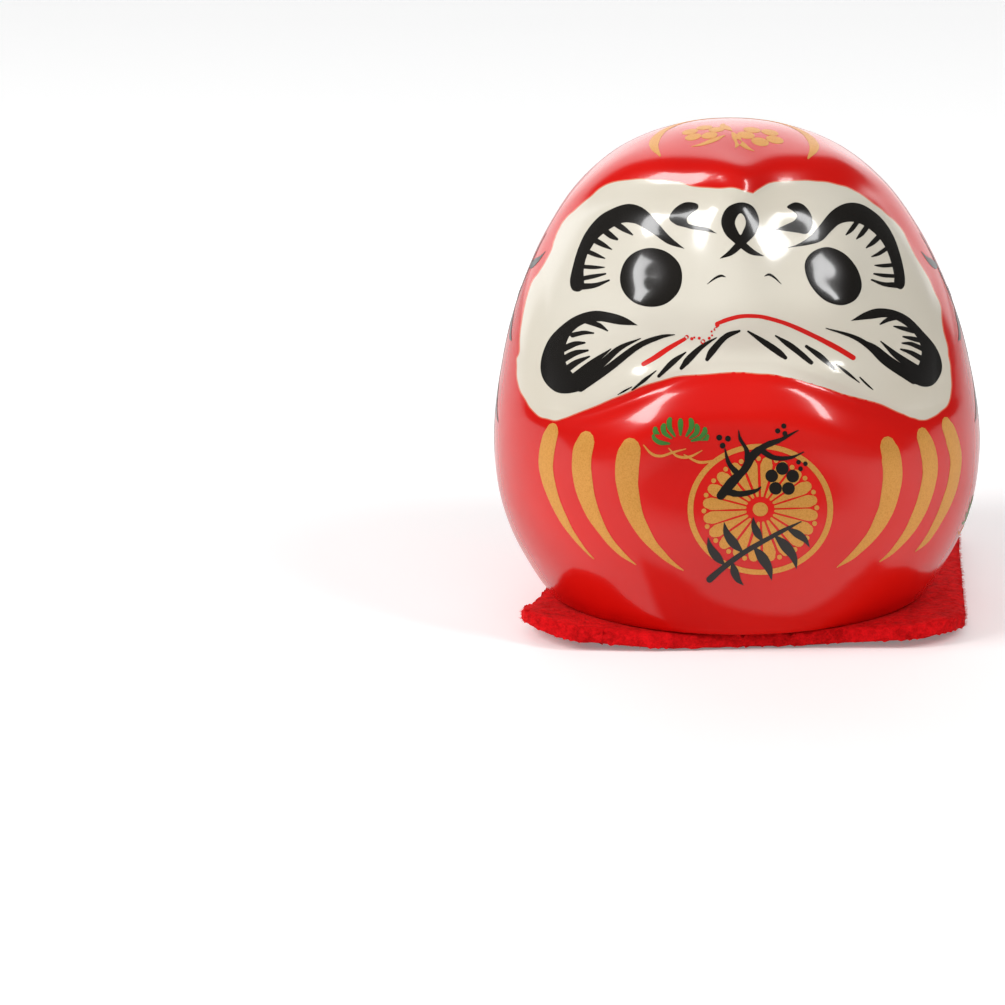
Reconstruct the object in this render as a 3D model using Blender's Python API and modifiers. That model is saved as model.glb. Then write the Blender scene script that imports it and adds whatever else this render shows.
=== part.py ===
"""Daruma doll: a slip-cast, glazed ceramic figurine standing loose on a square of red felt.

Pieces: doll_shell (hollow glazed body with the face in relief), vent_plug (soft
bung in the casting hole under it) and felt_mat. Units are metres, +Z is up, the
face looks along -Y, and the origin is the bottom centre of the whole piece.
"""

import math

import bpy
from mathutils import Matrix, Vector

MM = 0.001

# Driving dimensions
BODY_WIDTH = 60.0 * MM
BODY_DEPTH = 54.0 * MM
BODY_HEIGHT = 58.5 * MM
WALL = 3.0 * MM
FOOT_RECESS = 2.2 * MM
VENT_DIAMETER = 12.0 * MM
PLUG_LENGTH = 7.5 * MM
RELIEF = 1.0
MAT_SIDE = 56.0 * MM
MAT_THICK = 1.6 * MM
MAT_CORNER = 8.0 * MM

GAP = 0.3 * MM
MAT_BACK = 6.5 / 54.0 * BODY_DEPTH
MAT_TURN = math.radians(-2.0)
BASE_Z = MAT_THICK + GAP
RINGS = 48
STEPS = 96

# Side of the egg: share of the half width, share of the height, from the crown down.
PROFILE = (
    (0.0, 1.0), (0.233, 0.988), (0.453, 0.943), (0.630, 0.867), (0.760, 0.771),
    (0.853, 0.673), (0.917, 0.578), (0.960, 0.485), (0.990, 0.395), (1.0, 0.306),
    (0.983, 0.217), (0.933, 0.132), (0.853, 0.053), (0.803, 0.015),
)
FOOT_EDGE = (0.765, 0.0)
FOOT_INNER = 0.60
PANEL_EDGE = 0.57


def clear_scene():
    for thing in list(bpy.data.objects):
        bpy.data.objects.remove(thing)


def collection(name):
    made = bpy.data.collections.new(name)
    bpy.context.scene.collection.children.link(made)
    return made


def material(name, colour, roughness, coat=0.0):
    made = bpy.data.materials.new(name)
    made.use_nodes = True
    shader = made.node_tree.nodes["Principled BSDF"]
    shader.inputs["Base Color"].default_value = (*colour, 1.0)
    shader.inputs["Roughness"].default_value = roughness
    shader.inputs["Metallic"].default_value = 0.0
    shader.inputs["Coat Weight"].default_value = coat
    return made


def smooth_profile(points, count):
    """Catmull-Rom through the points, read at equal steps."""
    ends = [(-points[1][0], points[1][1]), *points]
    ends.append((2 * points[-1][0] - points[-2][0], 2 * points[-1][1] - points[-2][1]))
    found = []
    spans = len(points) - 1
    for i in range(count + 1):
        place = i / count * spans
        k = min(int(place), spans - 1)
        t = place - k
        a, b, c, d = ends[k : k + 4]
        found.append(
            tuple(
                0.5 * (2 * b[j] + (c[j] - a[j]) * t
                       + (2 * a[j] - 5 * b[j] + 4 * c[j] - d[j]) * t * t
                       + (3 * b[j] - a[j] - 3 * c[j] + d[j]) * t ** 3)
                for j in (0, 1)
            )
        )
    return found


def turned(name, points, steps, where):
    """A closed solid of revolution: a profile at +X, top to bottom, with a Screw modifier."""
    mesh = bpy.data.meshes.new(name)
    mesh.from_pydata([(x, 0.0, z) for x, z in points], [(i, i + 1) for i in range(len(points) - 1)], [])
    made = bpy.data.objects.new(name, mesh)
    where.objects.link(made)
    screw = made.modifiers.new("turn", "SCREW")
    screw.axis = "Z"
    screw.angle = math.tau
    screw.steps = screw.render_steps = steps
    screw.use_merge_vertices = True
    screw.merge_threshold = 0.00001
    screw.use_smooth_shade = True
    return made


def apply_modifiers(thing):
    bpy.context.view_layer.objects.active = thing
    for modifier in list(thing.modifiers):
        bpy.ops.object.modifier_apply(modifier=modifier.name)


def smooth_step(low, high, value):
    t = min(max((value - low) / (high - low), 0.0), 1.0)
    return t * t * (3 - 2 * t)


def bump(x, h, at_x, at_h, wide, tall, turn=0.0):
    """A rounded hill of height 1, stretched and turned."""
    dx, dh = x - at_x, h - at_h
    a = dx * math.cos(turn) + dh * math.sin(turn)
    b = dh * math.cos(turn) - dx * math.sin(turn)
    return math.exp(-((a / wide) ** 2 + (b / tall) ** 2))


def dome(x, h, at_x, at_h, wide, tall):
    """A lens-shaped boss of height 1 with a clear edge."""
    r = ((x - at_x) / wide) ** 2 + ((h - at_h) / tall) ** 2
    return math.sqrt(1 - r) if r < 1 else 0.0


def hood_line(x):
    """Height of the hood's lower edge over the brows, with its dip in the middle."""
    side = abs(x - 1.5)
    return 53.6 - 1.4 * math.exp(-((side / 1.6) ** 2)) - 0.0155 * max(side - 8, 0) ** 2.2


def belly_line(x):
    """Height of the crease where the face ends and the belly swells out."""
    side = abs(x - 0.5)
    return 33.2 - 7.6 * smooth_step(2.0, 24.0, side)


def relief(x, h):
    """How far the face and belly stand out of the egg, in millimetres, x and h in millimetres."""
    side = abs(x - 0.8)
    mirrored = 0.8 + side
    top, low = hood_line(x), belly_line(x)
    inside = smooth_step(low - 0.8, low + 1.2, h) * (1 - smooth_step(top - 1.2, top + 0.8, h))
    inside *= 1 - smooth_step(23.5, 27.0, side)
    out = -0.55 * inside
    out += 0.45 * math.exp(-(((h - top - 1.6) / 1.6) ** 2)) * (1 - smooth_step(12, 24, side))
    out -= 0.35 * math.exp(-(((h - top) / 0.9) ** 2)) * (1 - smooth_step(14, 24, side))
    out += 0.85 * bump(mirrored, h, 7.5, 51.0, 6.5, 2.2, -0.1)
    out -= 0.75 * bump(mirrored, h, 11.0, 43.6, 6.2, 5.0)
    out += 1.25 * dome(mirrored, h, 11.0, 43.5, 4.3, 4.2)
    out += 0.9 * bump(x, h, 0.8, 47.0, 2.6, 5.0)
    out += 1.8 * bump(x, h, 0.8, 42.6, 4.6, 2.8)
    out += 0.9 * bump(x, h, 0.8, 40.2, 9.0, 2.4)
    out += 0.9 * bump(mirrored, h, 13.8, 38.6, 6.0, 3.0, -0.35)
    out -= 0.7 * bump(x, h, 0.8, 35.6, 10.0, 2.0)
    out += 0.5 * bump(mirrored, h, 11.5, 32.4, 4.5, 1.6, -0.4)
    out -= 0.5 * math.exp(-(((h - low) / 1.0) ** 2)) * (1 - smooth_step(16, 25, side))
    out += 1.5 * math.exp(-(((h - low + 5.0) / 3.6) ** 2)) * (1 - smooth_step(8, 25, side))
    out -= 0.6 * bump(x, h, 0.8, 9.0, 15.0, 6.0)
    return out


def shape_face(shell):
    """Squeezes the turned egg to its depth and pushes the front out along its normals."""
    mesh = shell.data
    normals = [v.normal.copy() for v in mesh.vertices]
    unit = BODY_WIDTH / 60.0
    tall = BODY_HEIGHT / 58.5
    for v, n in zip(mesh.vertices, normals):
        h = (v.co.z - BASE_Z) / tall
        front = smooth_step(0.0, 7.0, -v.co.y / unit) * smooth_step(1.0, 7.0, h)
        if front > 0 and n.z > -0.9:
            v.co += n * (relief(v.co.x / unit, h) * front * RELIEF * unit)
        v.co.y *= BODY_DEPTH / BODY_WIDTH


def cut(thing, cutter):
    cutter.hide_render = True
    cutter.display_type = "WIRE"
    boolean = thing.modifiers.new("cut", "BOOLEAN")
    boolean.operation = "DIFFERENCE"
    boolean.solver = "EXACT"
    boolean.object = cutter


clear_scene()
parts = collection("Daruma_doll")
cutters = collection("Cutters")

red_glaze = material("red_glaze", (0.80, 0.025, 0.015), 0.08, 1.0)
plug_rubber = material("plug_rubber", (0.55, 0.53, 0.48), 0.6)
red_felt = material("red_felt", (0.52, 0.008, 0.010), 0.95)

half = BODY_WIDTH / 2

# Glazed body: turned egg with a foot ring and a recessed base, then the face.
egg = [(x * half, BASE_Z + z * BODY_HEIGHT) for x, z in smooth_profile(PROFILE, RINGS)]
egg[0] = (0.0, BASE_Z + BODY_HEIGHT)
egg += [
    (0.790 * half, BASE_Z + 0.005 * BODY_HEIGHT),
    (FOOT_EDGE[0] * half, BASE_Z),
    (FOOT_INNER * half, BASE_Z),
    (PANEL_EDGE * half, BASE_Z + FOOT_RECESS),
    (0.0, BASE_Z + FOOT_RECESS),
]
shell = turned("doll_shell", egg, STEPS, parts)
apply_modifiers(shell)
shape_face(shell)
shell.data.materials.append(red_glaze)

# The inside: the egg again, one wall smaller, opening down through the vent hole.
room_floor = FOOT_RECESS + WALL
inner = []
for x, z in smooth_profile(PROFILE, 14):
    level = BODY_HEIGHT * 0.306
    shrink = (half - WALL) / half
    rise = (BODY_HEIGHT - level - 1.15 * WALL) / (BODY_HEIGHT - level)
    up = z * BODY_HEIGHT - level
    place = level + up * (rise if up > 0 else shrink)
    if place > room_floor + 1.5 * MM:
        inner.append((max(x, 0.0) * half * shrink, BASE_Z + place))
inner[0] = (0.0, inner[0][1])
inner += [
    (inner[-1][0] - 2.5 * MM, BASE_Z + room_floor),
    (VENT_DIAMETER / 2, BASE_Z + room_floor),
    (VENT_DIAMETER / 2, BASE_Z - 1.0 * MM),
    (0.0, BASE_Z - 1.0 * MM),
]
room = turned("hollow_cutter", inner, 40, cutters)
apply_modifiers(room)
for v in room.data.vertices:
    if v.co.z > BASE_Z + room_floor + 0.1 * MM or v.co.xy.length > VENT_DIAMETER / 2 + 0.5 * MM:
        v.co.y *= (BODY_DEPTH / 2 - WALL) / (half - WALL)
cut(shell, room)

# Soft bung, pushed up into the vent hole from below, its flange inside the foot ring.
bore = VENT_DIAMETER / 2 - GAP
flange_top = BASE_Z + FOOT_RECESS - GAP
flange_low = flange_top - 1.2 * MM
bung_top = flange_top + PLUG_LENGTH
plug_side = [
    (0.0, bung_top - 3.0 * MM),
    (bore * 0.52, bung_top - 3.0 * MM),
    (bore * 0.58, bung_top),
    (bore * 0.80, bung_top),
    (bore * 0.86, bung_top - 0.6 * MM),
    (bore, flange_top + 0.8 * MM),
    (bore, flange_top),
    (bore + 1.9 * MM, flange_top),
    (bore + 2.1 * MM, flange_top - 0.3 * MM),
    (bore + 1.9 * MM, flange_low),
    (bore * 0.45, flange_low),
    (bore * 0.38, flange_low + 0.5 * MM),
    (0.0, flange_low + 0.6 * MM),
]
plug = turned("vent_plug", plug_side, 32, parts)
plug.data.materials.append(plug_rubber)

# Felt mat: a square with rounded corners, its front edge under the front of the foot.
bpy.ops.mesh.primitive_cube_add(size=1.0, location=(0, 0, 0))
mat = bpy.context.object
mat.name = mat.data.name = "felt_mat"
for owner in list(mat.users_collection):
    owner.objects.unlink(mat)
parts.objects.link(mat)
mat.data.transform(Matrix.Diagonal((MAT_SIDE, MAT_SIDE, MAT_THICK, 1.0)))
corner = mat.data.attributes.new("bevel_weight_edge", "FLOAT", "EDGE")
for edge in mat.data.edges:
    a, b = (mat.data.vertices[i].co for i in edge.vertices)
    corner.data[edge.index].value = 1.0 if abs(a.z - b.z) > MAT_THICK / 2 else 0.0
rounding = mat.modifiers.new("corners", "BEVEL")
rounding.limit_method = "WEIGHT"
rounding.width = MAT_CORNER
rounding.segments = 8
mat.rotation_euler = (0, 0, MAT_TURN)
mat.location = (1.0 * MM, MAT_BACK, MAT_THICK / 2)
mat.data.materials.append(red_felt)

# Centre the whole piece over the origin.
bpy.context.view_layer.update()
graph = bpy.context.evaluated_depsgraph_get()
corners = [
    thing.matrix_world @ Vector(corner_at)
    for thing in (shell, mat)
    for corner_at in thing.evaluated_get(graph).bound_box
]
if MAT_TURN:
    read = mat.evaluated_get(graph)
    reach = [mat.matrix_world @ v.co for v in read.data.vertices]
    corners = corners[:8] + reach
shift = Vector((
    -(max(c.x for c in corners) + min(c.x for c in corners)) / 2,
    -(max(c.y for c in corners) + min(c.y for c in corners)) / 2,
    0.0,
))
stand = bpy.data.objects.new("stand_point", None)
parts.objects.link(stand)
for thing in (shell, plug, mat):
    thing.parent = stand
room.parent = stand
stand.location = shift
bpy.context.view_layer.update()
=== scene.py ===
# %% [markdown]
# # A glazed daruma doll on its felt mat
# A small ceramic figurine: an egg-shaped hollow casting with a scowling face in relief, dipped in
# red glaze, with a white face and fired-on marks in black, gold and green. It stands loose on a
# square of red felt. We load the measured frame first, because every piece is built around it.

# %% Load the frame
import math

import bmesh
import bpy
import numpy as np
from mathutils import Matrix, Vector


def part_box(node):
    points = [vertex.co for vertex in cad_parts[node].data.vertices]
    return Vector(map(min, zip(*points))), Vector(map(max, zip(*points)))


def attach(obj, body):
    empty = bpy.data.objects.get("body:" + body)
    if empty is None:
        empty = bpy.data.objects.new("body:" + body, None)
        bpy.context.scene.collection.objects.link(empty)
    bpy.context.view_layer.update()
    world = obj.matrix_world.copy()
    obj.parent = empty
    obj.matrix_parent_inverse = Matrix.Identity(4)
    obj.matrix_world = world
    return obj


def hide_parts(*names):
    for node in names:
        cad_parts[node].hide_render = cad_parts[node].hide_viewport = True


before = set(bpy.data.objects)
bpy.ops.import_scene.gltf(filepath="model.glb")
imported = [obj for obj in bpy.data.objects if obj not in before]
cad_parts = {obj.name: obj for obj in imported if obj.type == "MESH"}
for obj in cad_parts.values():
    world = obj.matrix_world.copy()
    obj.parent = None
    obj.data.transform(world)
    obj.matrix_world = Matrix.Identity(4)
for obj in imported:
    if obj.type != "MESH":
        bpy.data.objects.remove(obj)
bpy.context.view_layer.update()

# %% [markdown]
# The doll's own coordinates are millimetres from the middle of its foot, with the face towards
# minus Y. The frame tells us where that point is, so nothing is placed by eye.

# %% The doll's own millimetres
SHELL_LOW, SHELL_HIGH = (Vector(corner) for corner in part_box("doll_shell"))
MAT_LOW, MAT_HIGH = (Vector(corner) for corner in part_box("felt_mat"))
PLUG_LOW = Vector(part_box("vent_plug")[0])

HALF_WIDTH, HALF_DEPTH, HEIGHT = 30.0, 27.0, 58.5
SQUEEZE = HALF_DEPTH / HALF_WIDTH
DOLL_X = (SHELL_LOW.x + SHELL_HIGH.x) / 2
DOLL_Y = SHELL_HIGH.y - HALF_DEPTH / 1000
FOOT_Z = SHELL_LOW.z


def in_world(points):
    """Doll millimetres to metres in the frame."""
    return np.asarray(points, float) / 1000 + (DOLL_X, DOLL_Y, FOOT_Z)


print("foot centre at", [round(v * 1000, 2) for v in (DOLL_X, DOLL_Y, FOOT_Z)], "mm")

# %% [markdown]
# Small helpers for the tools we use again and again: deselecting, naming a piece, applying
# modifiers, reading and writing points, and easing between values. Operators act on the whole
# selection, so each piece starts clean.

# %% Bench helpers
def clean_bench():
    if bpy.context.mode != "OBJECT":
        bpy.ops.object.mode_set(mode="OBJECT")
    bpy.ops.object.select_all(action="DESELECT")


def take(piece, name):
    piece.name = piece.data.name = name
    return piece


def apply_all(piece):
    clean_bench()
    piece.select_set(True)
    bpy.context.view_layer.objects.active = piece
    for modifier in list(piece.modifiers):
        bpy.ops.object.modifier_apply(modifier=modifier.name)
    clean_bench()


def points_of(piece):
    found = np.empty(len(piece.data.vertices) * 3)
    piece.data.vertices.foreach_get("co", found)
    return found.reshape(-1, 3)


def put_points(piece, points):
    piece.data.vertices.foreach_set("co", np.asarray(points, float).ravel())
    piece.data.update()


def smooth_step(low, high, value):
    t = np.clip((np.asarray(value, float) - low) / (high - low), 0.0, 1.0)
    return t * t * (3 - 2 * t)


def curve_between(a, b, c, d, t):
    """A smooth (Catmull-Rom) curve from b to c, at a share t of the way; a is before b, d after c."""
    return 0.5 * (2 * b + (c - a) * t + (2 * a - 5 * b + 4 * c - d) * t * t
                  + (3 * b - a - 3 * c + d) * t**3)


print("half way eases to", float(smooth_step(0.0, 1.0, 0.5)))


# %% [markdown]
# ## The egg
# The casting is a turned egg with a flat foot. Its side is a smooth curve through a few
# measured points (share of the half width, share of the height). We keep a fine table of the
# curve and of its normals, so that everything painted on it later can find the surface.

# %% Side curve of the egg
SIDE_POINTS = (
    (0.0, 1.0), (0.233, 0.988), (0.453, 0.943), (0.630, 0.867), (0.760, 0.771),
    (0.853, 0.673), (0.917, 0.578), (0.960, 0.485), (0.990, 0.395), (1.0, 0.306),
    (0.983, 0.217), (0.933, 0.132), (0.853, 0.053), (0.803, 0.015),
)


def side_curve(count):
    """Catmull-Rom through the side's points, in millimetres."""
    points = [(-SIDE_POINTS[1][0], SIDE_POINTS[1][1]), *SIDE_POINTS]
    points.append(tuple(2 * a - b for a, b in zip(SIDE_POINTS[-1], SIDE_POINTS[-2])))
    points = np.array(points)
    place = np.linspace(0, len(SIDE_POINTS) - 1, count + 1)
    k = np.minimum(place.astype(int), len(SIDE_POINTS) - 2)
    t = (place - k)[:, None]
    curve = curve_between(*(points[k + i] for i in range(4)), t)
    curve[0] = (0.0, 1.0)
    return curve * (HALF_WIDTH, HEIGHT)


FINE = 4000
SIDE = side_curve(FINE)
SIDE_R, SIDE_H = SIDE[:, 0], SIDE[:, 1]
slope = np.gradient(SIDE, axis=0)
slope /= np.linalg.norm(slope, axis=1)[:, None]
NORMAL_R, NORMAL_H = -slope[:, 1], slope[:, 0]
NORMAL_R[0], NORMAL_H[0] = 0.0, 1.0
WIDEST = int(np.argmax(SIDE_R))
PLACE = np.arange(FINE + 1)


def place_from_height(h):
    return np.interp(-np.asarray(h, float), -SIDE_H, PLACE)


def place_from_radius(r):
    return np.interp(np.asarray(r, float), SIDE_R[: WIDEST + 1], PLACE[: WIDEST + 1])


def read_side(table, place):
    return np.interp(place, PLACE, table)


print("widest at", round(SIDE_H[WIDEST], 1), "mm above the foot")

# %% [markdown]
# ## The face in relief
# A mould gives soft hills and hollows, so the relief is a sum of rounded bumps. Each line is
# one feature: its height, then its place and size, all in millimetres. Sculpting by hand would
# also do, but a sum can be asked for its height anywhere, which the painting needs.

# %% Relief of the casting
FACE_MIDDLE = 0.8


def hill(x, h, at_x, at_h, wide, tall, turn=0.0):
    dx, dh = x - at_x, h - at_h
    a = dx * math.cos(turn) + dh * math.sin(turn)
    b = dh * math.cos(turn) - dx * math.sin(turn)
    return np.exp(-((a / wide) ** 2 + (b / tall) ** 2))


def dome(x, h, at_x, at_h, wide, tall):
    r = ((x - at_x) / wide) ** 2 + ((h - at_h) / tall) ** 2
    return np.exp(-(r**1.5))


def hood_line(x):
    side = np.abs(x - 1.5)
    return 53.6 - 1.2 * np.exp(-((side / 2.6) ** 2)) - 0.0155 * np.maximum(side - 8, 0) ** 2.2


def belly_line(x):
    return 33.2 - 7.6 * smooth_step(2.0, 24.0, np.abs(x - 0.5))


def relief(x, h):
    side = np.abs(x - FACE_MIDDLE)
    both = FACE_MIDDLE + side
    top, low = hood_line(x), belly_line(x)
    inside = smooth_step(low - 0.8, low + 1.2, h) * (1 - smooth_step(top - 1.2, top + 0.8, h))
    inside = inside * (1 - smooth_step(23.5, 27.0, side))
    out = -0.55 * inside  # the whole face lies in
    # The rim of the hood and the groove under it.
    out += 0.45 * np.exp(-(((h - top - 1.6) / 1.6) ** 2)) * (1 - smooth_step(12, 24, side))
    out -= 0.35 * np.exp(-(((h - top) / 0.9) ** 2)) * (1 - smooth_step(14, 24, side))
    out += 0.6 * hill(both, h, 9.0, 50.6, 6.5, 2.4, -0.1)  # brows
    out -= 1.0 * hill(both, h, 9.5, 44.2, 5.0, 5.0)  # eye sockets
    out += 1.35 * dome(both, h, 11.0, 43.5, 4.5, 4.3)  # eyeballs
    out += 1.9 * hill(x, h, 0.0, 51.2, 3.6, 4.4)  # knot between the brows
    out += 1.3 * hill(x, h, 0.6, 44.6, 8.5, 4.6)  # nose
    out += 0.9 * hill(x, h, 0.8, 40.2, 9.0, 2.4)  # upper lip
    out += 0.9 * hill(both, h, 13.8, 38.6, 6.0, 3.0, -0.35)  # cheeks
    out -= 0.7 * hill(x, h, 0.8, 35.6, 10.0, 2.0)  # crease over the chin
    out += 0.5 * hill(both, h, 11.5, 32.4, 4.5, 1.6, -0.4)  # jowls
    # The groove between face and belly, the swell of the belly, and the hollow at its foot.
    out -= 0.5 * np.exp(-(((h - low) / 1.0) ** 2)) * (1 - smooth_step(16, 25, side))
    out += 1.5 * np.exp(-(((h - low + 5.0) / 3.6) ** 2)) * (1 - smooth_step(8, 25, side))
    out -= 0.6 * hill(x, h, 0.8, 9.0, 15.0, 6.0)
    return out


def lean(h):
    """The casting slumps a little to one side towards the crown."""
    return -0.8 * (np.maximum(h - 18.0, 0) / 40.0) ** 1.3


def surface(turn, place, lift=0.0):
    """The glazed surface at a turn from the front (radians) and a place down the side."""
    r, h = read_side(SIDE_R, place), read_side(SIDE_H, place)
    nr, nh = read_side(NORMAL_R, place), read_side(NORMAL_H, place)
    x, forward = r * np.sin(turn), r * np.cos(turn)
    front = smooth_step(0.0, 7.0, forward) * smooth_step(1.0, 7.0, h)
    out = relief(x, h) * front + lift
    found = np.stack([
        x + out * nr * np.sin(turn),
        -(forward + out * nr * np.cos(turn)) * SQUEEZE,
        h + out * nh,
    ], -1)
    found[..., 0] += lean(found[..., 2])
    return found


print("belly stands out", round(float(relief(np.array(0.8), np.array(28.0))), 2), "mm")

# %% [markdown]
# Three charts say where a flat drawing lands on the doll. The face chart looks at the doll
# from in front and a little above, as a decorator holds it; the crown chart looks straight
# down; the wall chart is wrapped round the side. Each returns points on the glaze.

# %% Charts for laying paint on the glaze
EYE_ANGLE = math.radians(15)
EYE_DISTANCE = 450.0
EYE_LEVEL = 17.9


def seen_from_front(points):
    x, y, z = points[..., 0], points[..., 1], points[..., 2] - EYE_LEVEL
    up = z * math.cos(EYE_ANGLE) + y * math.sin(EYE_ANGLE)
    away = EYE_DISTANCE + y * math.cos(EYE_ANGLE) - z * math.sin(EYE_ANGLE)
    return np.stack([x, up], -1) * (EYE_DISTANCE / away)[..., None]


def face_chart(flat, lift=0.0):
    """Where each point of a drawing in the viewer's plane meets the glaze."""
    flat = np.asarray(flat, float)
    x = flat[:, 0] * 0.94
    h = EYE_LEVEL + (flat[:, 1] + 5.2) / 0.966

    def at(x, h):
        place = place_from_height(h)
        r = read_side(SIDE_R, place)
        return surface(np.arcsin(np.clip(x / r, -0.999, 0.999)), place, lift)

    # From that flat guess, each of Newton's steps comes nearer to the point seen there.
    step = 0.02
    for _ in range(14):
        here = seen_from_front(at(x, h))
        by_x = (seen_from_front(at(x + step, h)) - here) / step
        by_h = (seen_from_front(at(x, h + step)) - here) / step
        miss = flat - here
        det = by_x[:, 0] * by_h[:, 1] - by_x[:, 1] * by_h[:, 0]
        det = np.where(np.abs(det) < 0.05, 0.05, det)
        x = x + np.clip((miss[:, 0] * by_h[:, 1] - miss[:, 1] * by_h[:, 0]) / det, -1.5, 1.5)
        h = h + np.clip((miss[:, 1] * by_x[:, 0] - miss[:, 0] * by_x[:, 1]) / det, -1.5, 1.5)
    return at(x, h)


def crown_chart(flat, lift=0.0):
    flat = np.asarray(flat, float)
    x, forward = flat[:, 0], -flat[:, 1] / SQUEEZE
    return surface(np.arctan2(x, forward), place_from_radius(np.hypot(x, forward)), lift)


def wall_chart(flat, lift=0.0):
    """First number: millimetres round the widest girth from the front; second: height."""
    flat = np.asarray(flat, float)
    return surface(flat[:, 0] / HALF_WIDTH, place_from_height(flat[:, 1]), lift)


print("nose lands at", np.round(face_chart([(0.8, 19.0)])[0], 2))

# %% [markdown]
# ## Finishes
# Shared effects are node groups: a glaze that pools and ripples, and the grain of a metallic
# powder. Each group gives out only masks and heights; the shader stays in the material.

# %% Node helpers
def new_group(name, inputs, outputs):
    group = bpy.data.node_groups.new(name, "ShaderNodeTree")
    for label, value in inputs:
        socket = group.interface.new_socket(label, in_out="INPUT", socket_type="NodeSocketFloat")
        socket.default_value = value
    for label in outputs:
        group.interface.new_socket(label, in_out="OUTPUT", socket_type="NodeSocketFloat")
    return group, group.nodes.new("NodeGroupInput"), group.nodes.new("NodeGroupOutput")


def math_node(tree, operation, a, b, clamp=False):
    node = tree.nodes.new("ShaderNodeMath")
    node.operation = operation
    node.use_clamp = clamp
    for socket, value in zip(node.inputs, (a, b)):
        if isinstance(value, (int, float)):
            socket.default_value = value
        else:
            tree.links.new(value, socket)
    return node.outputs[0]


def noise_node(tree, scale, detail, roughness):
    node = tree.nodes.new("ShaderNodeTexNoise")
    if isinstance(scale, (int, float)):
        node.inputs["Scale"].default_value = scale
    else:
        tree.links.new(scale, node.inputs["Scale"])
    node.inputs["Detail"].default_value = detail
    node.inputs["Roughness"].default_value = roughness
    tree.links.new(tree.nodes.new("ShaderNodeTexCoord").outputs["Object"], node.inputs["Vector"])
    return node.outputs["Fac"]


def ramp_node(tree, fac, stops):
    node = tree.nodes.new("ShaderNodeValToRGB")
    ramp = node.color_ramp
    while len(ramp.elements) < len(stops):
        ramp.elements.new(0.5)
    for element, (at, colour) in zip(ramp.elements, stops):
        element.position = at
        element.color = (*colour, 1.0)
    tree.links.new(fac, node.inputs["Fac"])
    return node.outputs["Color"]


def mix_colours(tree, fac, a, b):
    node = tree.nodes.new("ShaderNodeMix")
    node.data_type = "RGBA"
    tree.links.new(fac, node.inputs["Factor"])
    for socket, value in ((node.inputs[6], a), (node.inputs[7], b)):
        if isinstance(value, tuple):
            socket.default_value = (*value, 1.0)
        else:
            tree.links.new(value, socket)
    return node.outputs[2]


# %% Shared effects
def glaze_group():
    """Pool: slow change of thickness. Ripple: the faint orange peel of a fired glaze."""
    sizes = (("Pool Scale", 45.0), ("Ripple Scale", 420.0))
    group, given, out = new_group("fired_glaze", sizes, ("Pool", "Ripple"))
    pool = noise_node(group, given.outputs["Pool Scale"], 2.0, 0.5)
    peel = math_node(group, "MULTIPLY", noise_node(group, given.outputs["Ripple Scale"], 1.0, 0.4), 0.25)
    swell = math_node(group, "MULTIPLY", noise_node(group, 110.0, 0.0, 0.5), 0.75)
    group.links.new(pool, out.inputs["Pool"])
    group.links.new(math_node(group, "ADD", peel, swell), out.inputs["Ripple"])
    return group


def powder_group():
    """Grain: speckle of a metallic powder colour, stretched about its middle value."""
    group, given, out = new_group("powder_grain", (("Grain Scale", 5200.0),), ("Grain",))
    fine = noise_node(group, given.outputs["Grain Scale"], 3.0, 0.75)
    stretched = math_node(group, "MULTIPLY_ADD", math_node(group, "SUBTRACT", fine, 0.5), 2.6)
    group.links.new(stretched, out.inputs["Grain"])
    return group


GLAZE = glaze_group()
POWDER = powder_group()


def use_group(tree, group):
    """Puts a group in a material and gives its outputs."""
    node = tree.nodes.new("ShaderNodeGroup")
    node.node_tree = group
    return node.outputs


# %% Finish helpers
COAT_ROUGHNESS = 0.09


def new_finish(name, roughness, coat=0.0, specular=0.5):
    material = bpy.data.materials.new(name)
    material.use_nodes = True
    shader = material.node_tree.nodes["Principled BSDF"]
    shader.inputs["Roughness"].default_value = roughness
    shader.inputs["Coat Weight"].default_value = coat
    shader.inputs["Coat Roughness"].default_value = COAT_ROUGHNESS
    shader.inputs["Specular IOR Level"].default_value = specular
    return material, material.node_tree, shader


def bump(tree, shader, height, strength, distance):
    node = tree.nodes.new("ShaderNodeBump")
    node.inputs["Strength"].default_value = strength
    node.inputs["Distance"].default_value = distance
    tree.links.new(height, node.inputs["Height"])
    tree.links.new(node.outputs["Normal"], shader.inputs["Normal"])


print("groups:", [group.name for group in bpy.data.node_groups])

# %% [markdown]
# Red glaze: a thick, glossy coat. It is deeper where it pools and the foot is bare clay, which
# we pick out by height under the doll. White, black and the thin red line share the same
# fired surface, so the gloss runs over all of them alike.

# %% Glaze materials
RED_DEEP, RED_BRIGHT = (0.68, 0.005, 0.003), (0.80, 0.008, 0.004)
BARE_CLAY = (0.62, 0.52, 0.41)
GLAZE_ROUGHNESS, GLAZE_COAT, GLAZE_SPECULAR = 0.25, 0.65, 0.25
RIPPLE_STRENGTH, RIPPLE_DEPTH = 0.10, 0.0002


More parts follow.
